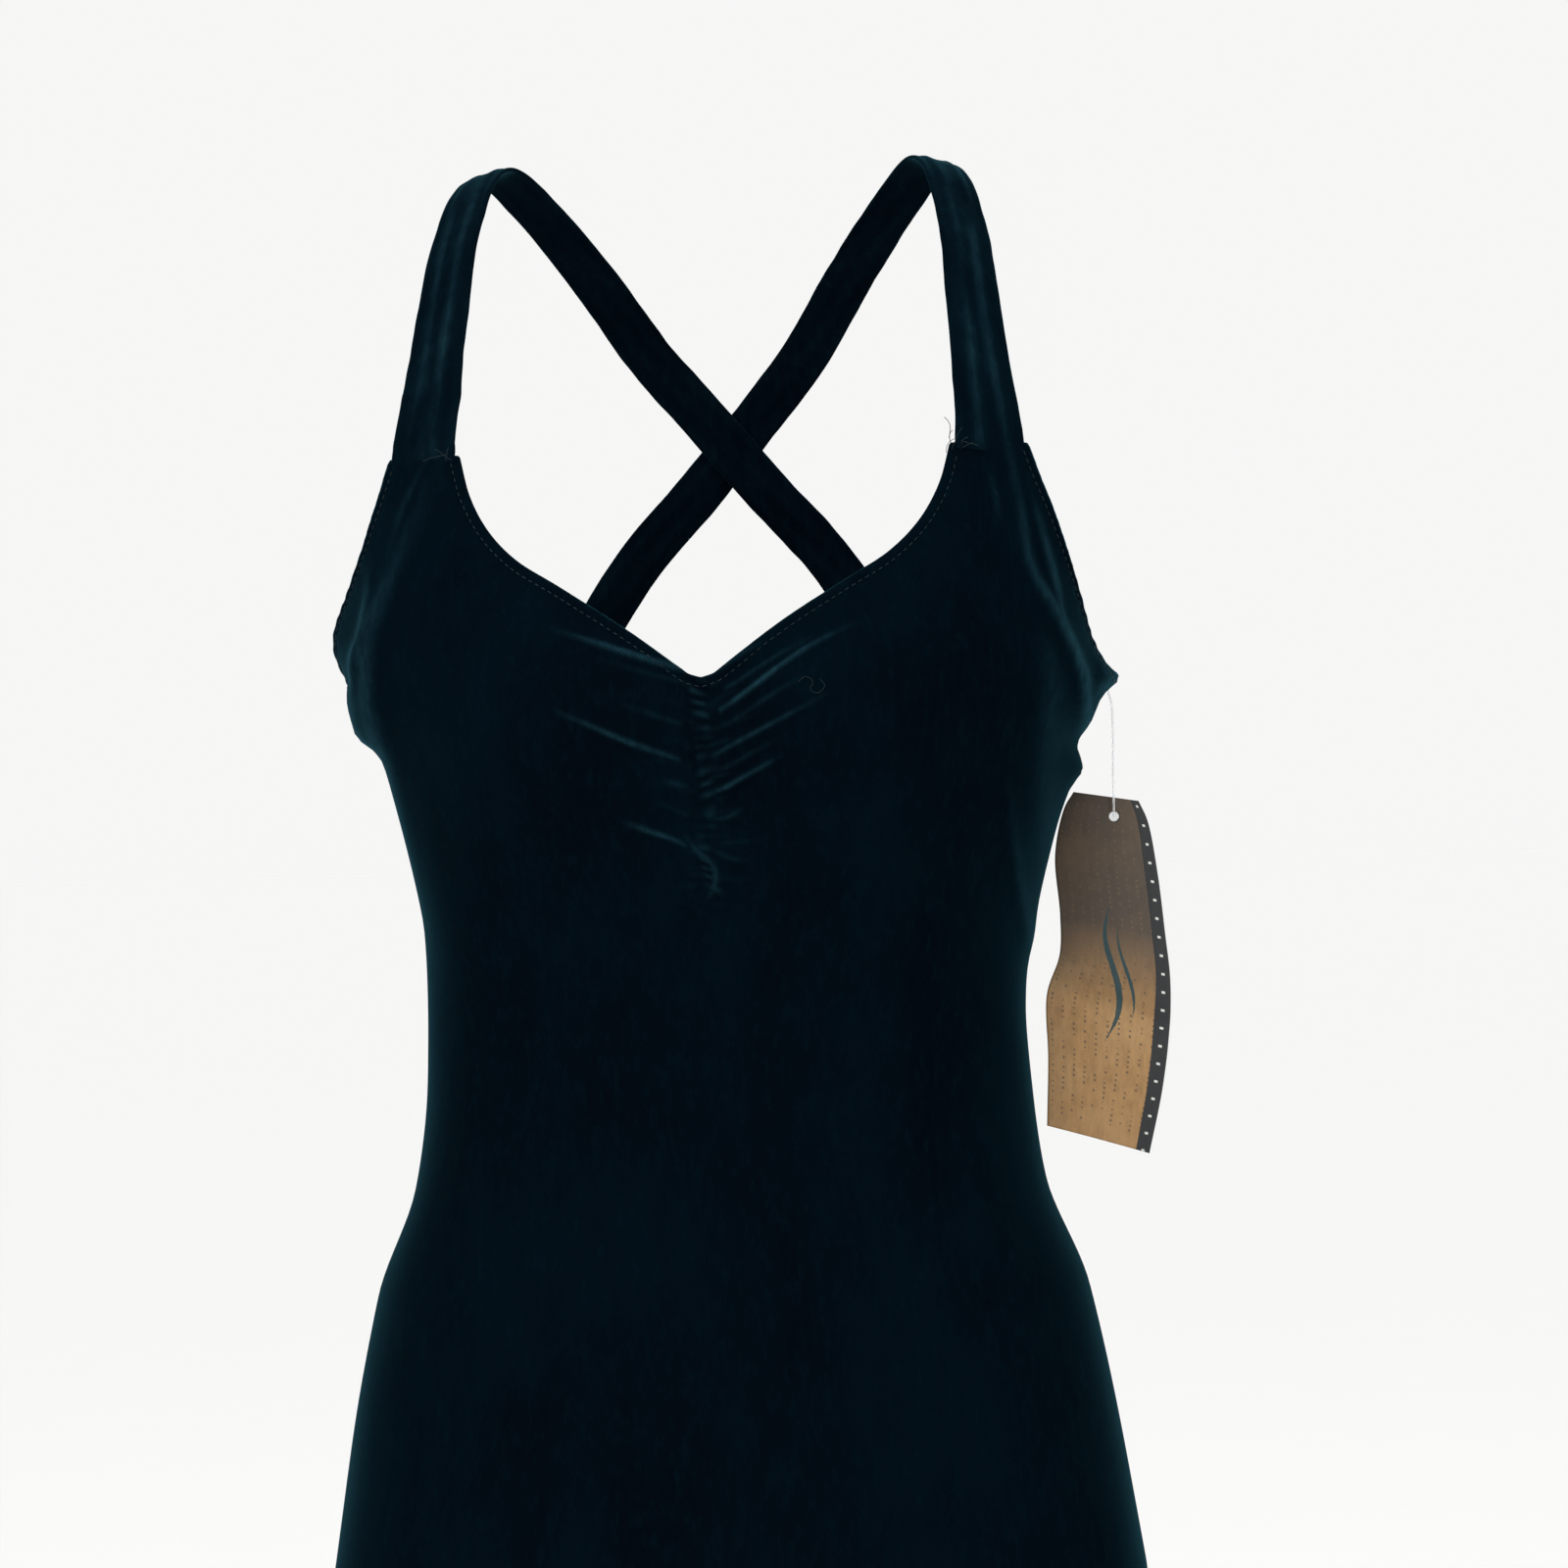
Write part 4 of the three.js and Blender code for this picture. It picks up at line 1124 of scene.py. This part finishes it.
class LEOTARD_OT_lining(bpy.types.Operator):
    """Makes the bust lining with its underbust elastic, and dresses the gusset"""

    bl_idname = "leotard.lining"
    bl_label = "Lining"

    def execute(self, context):
        half = graded(185, (0, 2), (20, 4), (185, 3.5)) * 0.985
        down = graded(90, (0, 1.5), (10, 2), (90, 2.4))

        def place(u, v):
            girth, drop = LINING_CUT.at(u, 0.012 + 0.988 * v)
            return cloth(girth, drop, FRONT, inset=LINING_UNDER)

        bm = grid(both_ways(half), down, place)
        face_out(bm)
        lining = new_piece("lining_bust", bm, "leotard", "lining",
                           bpy.data.materials["lining_knit"])
        give_thickness(lining, LINING_THICK * MM)
        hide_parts("bust_lining")

        round_to = 1.545  # just inside the side seams
        angles = np.linspace(-round_to, round_to, 120)
        bm = grid(angles, np.linspace(UNDERBUST_Z, UNDERBUST_Z + 7, 4),
                  lambda u, v: cloth(u, v, FRONT, inset=UNDERBUST_UNDER))
        face_out(bm)
        piece = new_piece("elastic_underbust", bm, "leotard", "elastic",
                          bpy.data.materials["woven_elastic"])
        give_thickness(piece, ELASTIC_THICK * MM)
        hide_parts("underbust_elastic")

        dress("gusset_lining", "cotton_jersey")
        return {"FINISHED"}


class LEOTARD_OT_seams(bpy.types.Operator):
    """Makes the overlocked allowances inside the side seams, and the labels caught in them"""

    bl_idname = "leotard.seams"
    bl_label = "Seams and labels"

    def execute(self, context):
        for name, side in (("left", 1), ("right", -1)):
            heights = np.linspace(UNDERARM_Z - 9, LEG_SIDE_Z + 17, 260)
            corners = np.linspace(0, 2 * np.pi, 12, endpoint=False)
            rings = []
            for z in heights:
                edge = cloth(side * SIDE, z, BACK, inset=OVERLOCK_UNDER)
                wave = 0.25 * math.sin(z / 0.8)
                ring = [edge + (-side * (2.1 + (2.0 + wave) * math.sin(c)), 1.35 * math.cos(c), 0)
                        for c in corners]
                rings.append(ring)
            bm = sweep(rings)
            piece = new_piece(f"overlock_{name}", bm, "leotard", "overlock",
                              bpy.data.materials["overlock_thread"])
            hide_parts(f"side_seam_{name}")
        dress("size_label", "satin_label")
        dress("care_label", "satin_label")
        return {"FINISHED"}


class LEOTARD_OT_stitches(bpy.types.Operator):
    """Sews the hems and leaves a few loose thread ends where the straps are sewn on"""

    bl_idname = "leotard.stitches"
    bl_label = "Stitches"

    def execute(self, context):
        settings = context.scene.leotard_cloth
        inset = settings.stitch_inset / MM
        length, gap = settings.stitch_length / MM, settings.stitch_gap / MM
        runs = []
        for cut in (FRONT_CUT, BACK_CUT):
            for i, line in enumerate(cut.hems()):
                # Two lines are turned round, so that each has its cloth on the same side.
                turned = i in (2, 3)
                runs.append((np.array(line)[::-1] if turned else np.array(line), cut.facing))
        bm = bmesh.new()
        for line, facing in runs:
            places, into = strip_frame(line, facing)
            spots = places + into * inset
            girth = np.clip(spots[:, 0], -SIDE, SIDE)
            at, outer = (cloth(girth, spots[:, 1], facing, extra=lift) for lift in (0.05, 1.05))
            run = run_of(at)
            for start in np.arange(2, run[-1] - length - 2, length + gap):
                ends = [Vector([np.interp(s, run, at[:, i]) for i in range(3)])
                        for s in (start, start + length)]
                middle = (ends[0] + ends[1]) / 2
                far = Vector([np.interp(start + length / 2, run, outer[:, i]) for i in range(3)])
                ahead = (ends[1] - ends[0]).normalized()
                normal = (far - middle).normalized()
                across = normal.cross(ahead).normalized()
                normal = ahead.cross(across).normalized()
                turn = Matrix((ahead, across, normal)).transposed().to_4x4()
                size = Matrix.Diagonal((length / 2 * MM, 0.22 * MM, 0.2 * MM, 1))
                bmesh.ops.create_uvsphere(bm, u_segments=6, v_segments=4, radius=1,
                                          matrix=Matrix.Translation(middle * MM) @ turn @ size)
        new_piece("topstitching", bm, "leotard", "velvet", bpy.data.materials["sewing_thread"])

        ends = []
        for side, seed, count in ((1, 11, 7), (-1, 4, 3)):
            rng = np.random.RandomState(seed)
            for _ in range(count):
                x, z = STRAP_INNER_X + rng.uniform(-0.5, 5), STRAP_JOIN_Z + rng.uniform(-3, 3)
                girth, drop = to_cloth([(x, z)])
                base = cloth(side * girth, drop, FRONT, extra=0.2)[0]
                heading = rng.uniform(-0.6, 3.4)
                reach = rng.uniform(5, 11)
                bend = rng.uniform(-0.5, 0.5)
                line = [base]
                for k in range(1, 5):
                    heading += bend + rng.uniform(-0.25, 0.25)
                    step = np.array([math.cos(heading), 0, math.sin(heading)]) * reach / 4
                    line.append(line[-1] + step + (0, -rng.uniform(0.1, 0.6), 0))
                ends.append(smooth_line(line, 10))
        girth, drop = to_cloth([(40, -211)])
        base = cloth(girth, drop, FRONT, extra=0.35)[0]
        loop = [(-3, 0, 2), (0, -0.2, 4), (3, -0.3, 2), (2, -0.3, -1.5), (5, -0.2, -3),
                (8, -0.2, 0), (6, 0, 3)]
        ends.append(smooth_line([base + np.array(p, float) * 0.9 for p in loop], 30))
        data = bpy.data.curves.new("loose_threads", "CURVE")
        data.dimensions = "3D"
        data.bevel_depth = 0.13 * MM
        data.bevel_resolution = 1
        data.use_fill_caps = True
        for line in ends:
            spline = data.splines.new("POLY")
            spline.points.add(len(line) - 1)
            for point, p in zip(spline.points, line):
                point.co = (*(p * MM), 1)
        data.materials.append(bpy.data.materials["sewing_thread"])
        threads = bpy.data.objects.new("loose_threads", data)
        context.scene.collection.objects.link(threads)
        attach(threads, "leotard")
        return {"FINISHED"}


TAG_HOLE = (156.0, 6.5, -263.6)
CARD_TOP, CARD_HEIGHT, CARD_WIDTH = 7.6, 139.6, 50
MARK_ROWS = 4.6  # between two rows of small print
# Each row: height from the hole, left edge, right edge, and how far the card bows forward there.
CARD_ROWS = [
    (7.6, -16, 10, 2.4),
    (0, -20, 13.5, 2.5),
    (-20, -24, 17, 2.6),
    (-44, -22.5, 19.5, 1.6),
    (-60, -23, 21, 0.4),
    (-78, -28.5, 20.5, -0.8),
    (-104, -28.5, 17, -1.6),
    (-132, -29.5, 11, -2.2),
]


def card_finish(settings, printed=True):
    """Kraft card, plain on its back. Its front has rows of small marks, two brushed waves and a
    dark stripe with pale dots."""
    f = Finish("kraft_card" if printed else "kraft_card_back")
    uv = f.add("ShaderNodeUVMap", uv_map="card").outputs["UV"]
    split = f.add("ShaderNodeSeparateXYZ")
    f.join(uv, split.inputs["Vector"])
    # Millimetres from the left edge, and from the foot.
    across, up = split.outputs["X"], split.outputs["Y"]
    fibre = f.noise(420, 5, 0.7, stretch=(1, 1, 0.35))
    fleck = f.noise(1500, 2, 0.6)
    cloud = f.noise(38, 3, 0.6)
    base = f.mix(f.ramp(fibre, 0, 1, 0.35, 0.68), settings.card_colour,
                 tuple(c * 0.72 for c in settings.card_colour))
    base = f.mix(f.ramp(fleck, 0, 0.5, 0.62, 0.74), base, (0.14, 0.08, 0.04))
    base = f.mix(f.ramp(cloud, 0, 0.35, 0.45, 0.7), base, (0.42, 0.27, 0.125))
    f.roughness(f.ramp(fibre, 0.6, 0.85))
    f.bump(fibre, 0.00012, 0.6)
    if not printed:
        f.colour(base)
        return f.material

    # Painted shade: darker along the left edge towards the top, where the card curls back.
    curl_shade = f.math("MULTIPLY", f.ramp(across, 1, 0, 2, 11), f.ramp(cloud, 0.4, 1, 0.3, 0.6))
    curl_shade = f.math("MULTIPLY", curl_shade, f.ramp(up, 0.15, 0.8, 60, 100))
    base = f.mix(curl_shade, base, (0.05, 0.038, 0.028))
    # Painted shade: the upper part, which tilts back, is much darker.
    upper_shade = f.math("MULTIPLY", f.ramp(up, 0.05, 1, 52, 88), f.ramp(cloud, 0.86, 1.0, 0.3, 0.6))
    base = f.mix(f.math("MULTIPLY", upper_shade, 0.97), base, (0.026, 0.02, 0.016))

    # Painted shade above the bend across the middle of the card.
    bent = f.ramp(f.math("ADD", up, f.math("MULTIPLY", across, 0.35)), 0, 0.16, 78, 84)
    base = f.mix(bent, base, (0.12, 0.082, 0.05))

    def between(value, low, high):
        above, below = f.math("GREATER_THAN", value, low), f.math("LESS_THAN", value, high)
        return f.math("MULTIPLY", above, below)

    def marks():
        """Where the rows of dashes have their gaps."""
        node = f.add("ShaderNodeTexNoise", noise_dimensions="2D")
        node.inputs["Scale"].default_value = 1.0
        node.inputs["Detail"].default_value = 0
        place = f.add("ShaderNodeCombineXYZ")
        which = f.math("FLOOR", f.math("DIVIDE", across, MARK_ROWS))
        f.join(f.math("MULTIPLY", which, 7.31), place.inputs["X"])
        f.join(f.math("MULTIPLY", up, 0.55), place.inputs["Y"])
        f.join(place.outputs["Vector"], node.inputs["Vector"])
        return f.math("GREATER_THAN", node.outputs["Fac"], 0.5)

    row = f.math("FRACT", f.math("DIVIDE", across, MARK_ROWS))
    dash = f.math("LESS_THAN", f.math("FRACT", f.math("DIVIDE", up, 2.1)), 0.5)
    small = f.math("MULTIPLY", f.math("MULTIPLY", between(row, 0.36, 0.56), dash), marks())
    small = f.math("MULTIPLY", small, between(up, 6, 136))
    base = f.mix(f.math("MULTIPLY", small, 0.9), base, settings.print_colour)

    # Two brushed waves down the middle of the card.
    for middle, low, high, wide in ((25, 40, 96, 1.5), (31, 52, 88, 0.9)):
        place = f.math("MULTIPLY", f.math("SUBTRACT", up, 42), 0.115)
        bend = f.math("MULTIPLY", f.math("SINE", place), 4.2)
        off = f.math("ABSOLUTE", f.math("SUBTRACT", f.math("SUBTRACT", across, middle), bend))
        turn = f.math("MULTIPLY", f.math("SUBTRACT", up, low), math.pi / (high - low))
        swell = f.math("MULTIPLY", f.math("SINE", turn), wide)
        edge = f.math("ADD", off, f.math("MULTIPLY", f.math("SUBTRACT", fleck, 0.5), 0.8))
        line = f.math("MULTIPLY", f.math("LESS_THAN", edge, swell), between(up, low, high))
        base = f.mix(f.math("MULTIPLY", line, 0.95), base, settings.flourish_colour)

    stripe = f.math("GREATER_THAN", across, CARD_WIDTH - settings.stripe_width / MM)
    base = f.mix(stripe, base, (0.008, 0.009, 0.01))
    dot_row = f.math("ABSOLUTE", f.math("SUBTRACT", across, 46.8))
    dot = f.math("MULTIPLY", f.math("LESS_THAN", dot_row, 0.75),
                 f.math("LESS_THAN", f.math("FRACT", f.math("DIVIDE", up, 7.2)), 0.13))
    base = f.mix(f.math("MULTIPLY", dot, 0.8), base, (0.62, 0.62, 0.58))
    f.colour(base)
    return f.material


class LEOTARD_OT_hang_tag(bpy.types.Operator):
    """Makes the bent card tag and dresses the plastic barb that holds it"""

    bl_idname = "leotard.hang_tag"
    bl_label = "Hang tag"

    def execute(self, context):
        settings = context.scene.leotard_tag
        rows = smooth_line(CARD_ROWS, 80)[::-1]
        hole_x, hole_y, hole_z = TAG_HOLE
        across = np.linspace(0, 1, 51)
        down = np.linspace(CARD_TOP - CARD_HEIGHT, CARD_TOP, 143)

        printed = []

        def place(u, v):
            printed.extend(zip(CARD_WIDTH * u, v + CARD_HEIGHT - CARD_TOP))
            left, right, bow = (np.interp(v, rows[:, 0], rows[:, i]) for i in (1, 2, 3))
            x = left + (right - left) * u
            curl = bow * (1 - 4 * (u - 0.5) ** 2)
            near_hole = np.exp(-((v / 9) ** 2) - (((u - 0.5) * CARD_WIDTH / 9) ** 2))
            fold = 1.6 * np.exp(-(((v + 76 + 9 * (u - 0.5)) / 5.5) ** 2))
            y = hole_y - 0.3 - (curl - bow) * (1 - near_hole) + fold * (1 - near_hole)
            slope = np.interp(v, [-132, -20, 8], [0.29, 0.2, 0.16])
            return np.stack([hole_x + x, y, hole_z + v - slope * x], axis=1)

        bm = grid(across, down, place)
        bm.verts.index_update()
        layer = bm.loops.layers.uv.new("card")
        for face in bm.faces:
            for loop in face.loops:
                loop[layer].uv = printed[loop.vert.index]
        middle = Vector((hole_x * MM, 0, hole_z * MM))

        def reach(point):
            return math.hypot(point.x - middle.x, point.z - middle.z)

        hole = 2.0 * MM
        cut = [f for f in bm.faces if reach(f.calc_center_median()) < hole]
        bmesh.ops.delete(bm, geom=cut, context="FACES")
        for vert in bm.verts:
            if vert.is_boundary and reach(vert.co) < 2 * hole:
                scale = hole / reach(vert.co)
                vert.co.x = middle.x + (vert.co.x - middle.x) * scale
                vert.co.z = middle.z + (vert.co.z - middle.z) * scale
        bm.normal_update()
        if sum(f.normal.y for f in bm.faces) > 0:
            bmesh.ops.reverse_faces(bm, faces=bm.faces)
        card = new_piece("card_tag", bm, "hang_tag", "card",
                         card_finish(settings), card_finish(settings, printed=False))
        give_thickness(card, settings.thickness, inner_slot=1)
        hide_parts("hang_tag")
        dress("tag_barb", "clear_nylon")
        return {"FINISHED"}


class LEOTARD_OT_stage(bpy.types.Operator):
    """Sets the pale floor, the soft lights and the camera"""

    bl_idname = "leotard.stage"
    bl_label = "Stage"

    def execute(self, context):
        settings = context.scene.leotard_stage
        f = Finish("pale_floor")
        speck = f.noise(6, 4, 0.6)
        colour = tuple(settings.floor_colour)
        f.colour(f.mix(speck, colour, tuple(c * 0.985 for c in colour)))
        f.roughness(f.ramp(speck, 0.8, 0.9))
        # A little light of its own, so that the far floor is as bright as what is behind it.
        f.shader.inputs["Emission Color"].default_value = (1, 1, 1, 1)
        f.shader.inputs["Emission Strength"].default_value = 0.05
        bm = bmesh.new()
        bmesh.ops.create_grid(bm, x_segments=8, y_segments=8, size=60)
        bmesh.ops.translate(bm, verts=bm.verts, vec=(0, 0, -settings.floor_drop))
        mesh = bpy.data.meshes.new("floor")
        bm.to_mesh(mesh)
        bm.free()
        mesh.materials.append(f.material)
        floor = bpy.data.objects.new("floor", mesh)
        context.scene.collection.objects.link(floor)

        world = bpy.data.worlds.new("room")
        world.use_nodes = True
        sky = world.node_tree.nodes["Background"]
        sky.inputs["Color"].default_value = (*colour, 1)
        sky.inputs["Strength"].default_value = 0.97
        context.scene.world = world
        context.scene.view_settings.view_transform = "Standard"

        def soft_light(name, place, aim, size, power, colour=(1, 1, 1)):
            data = bpy.data.lights.new(name, "AREA")
            data.shape = "RECTANGLE"
            data.size, data.size_y = size
            data.energy = power
            data.color = colour
            light = bpy.data.objects.new(name, data)
            light.location = place
            light.rotation_euler = (Vector(aim) - Vector(place)).to_track_quat("-Z", "Y").to_euler()
            context.scene.collection.objects.link(light)

        key = settings.key_power
        soft_light("key", (-1.3, -1.7, 0.9), (0, 0, -0.3), (1.4, 1.4), key)
        soft_light("fill", (1.9, -1.5, 0.2), (0, 0, -0.3), (1.2, 1.8), 0.45 * key)
        soft_light("top", (0, 0.3, 1.6), (0, 0, -0.3), (1.6, 1.2), 0.5 * key)

        turn, distance = settings.camera_turn, settings.camera_distance
        view_width, roll = 0.616, math.radians(-1.3)
        target = Vector((0.0265, -0.04, -0.2476))
        data = bpy.data.cameras.new("camera")
        data.sensor_width = 36
        data.lens = data.sensor_width * distance / view_width
        data.dof.use_dof = False
        camera = bpy.data.objects.new("camera", data)
        away = Vector((math.sin(turn), -math.cos(turn), 0))
        look = (-away).to_track_quat("-Z", "Y").to_matrix().to_4x4()
        camera.matrix_world = (
            Matrix.Translation(target + away * distance) @ look @ Matrix.Rotation(roll, 4, "Z")
        )
        context.scene.collection.objects.link(camera)
        context.scene.camera = camera
        return {"FINISHED"}


class LEOTARD_PT_panel(bpy.types.Panel):
    """Lists the leotard's pieces"""

    bl_idname = "LEOTARD_PT_panel"
    bl_label = "Leotard"
    bl_space_type = "VIEW_3D"
    bl_region_type = "UI"
    bl_category = "Leotard"

    def draw(self, context):
        scene = context.scene
        for settings in (scene.leotard_cloth, scene.leotard_tag, scene.leotard_stage):
            box = self.layout.box()
            for name in settings.__annotations__:
                box.prop(settings, name)
        for operator in OPERATORS:
            self.layout.operator(operator.bl_idname)


OPERATORS = (
    LEOTARD_OT_finishes,
    LEOTARD_OT_front_panel,
    LEOTARD_OT_back_panel,
    LEOTARD_OT_straps,
    LEOTARD_OT_elastics,
    LEOTARD_OT_lining,
    LEOTARD_OT_seams,
    LEOTARD_OT_stitches,
    LEOTARD_OT_hang_tag,
    LEOTARD_OT_stage,
)
CLASSES = (
    LeotardClothSettings, LeotardTagSettings, LeotardStageSettings, *OPERATORS, LEOTARD_PT_panel)


def register():
    for cls in CLASSES:
        bpy.utils.register_class(cls)
    bpy.types.Scene.leotard_cloth = PointerProperty(type=LeotardClothSettings)
    bpy.types.Scene.leotard_tag = PointerProperty(type=LeotardTagSettings)
    bpy.types.Scene.leotard_stage = PointerProperty(type=LeotardStageSettings)


def unregister():
    del bpy.types.Scene.leotard_stage
    del bpy.types.Scene.leotard_tag
    del bpy.types.Scene.leotard_cloth
    for cls in reversed(CLASSES):
        bpy.utils.unregister_class(cls)


def main():
    register()
    for operator in OPERATORS:
        group, name = operator.bl_idname.split(".")
        getattr(getattr(bpy.ops, group), name)()


if __name__ == "__main__":
    main()
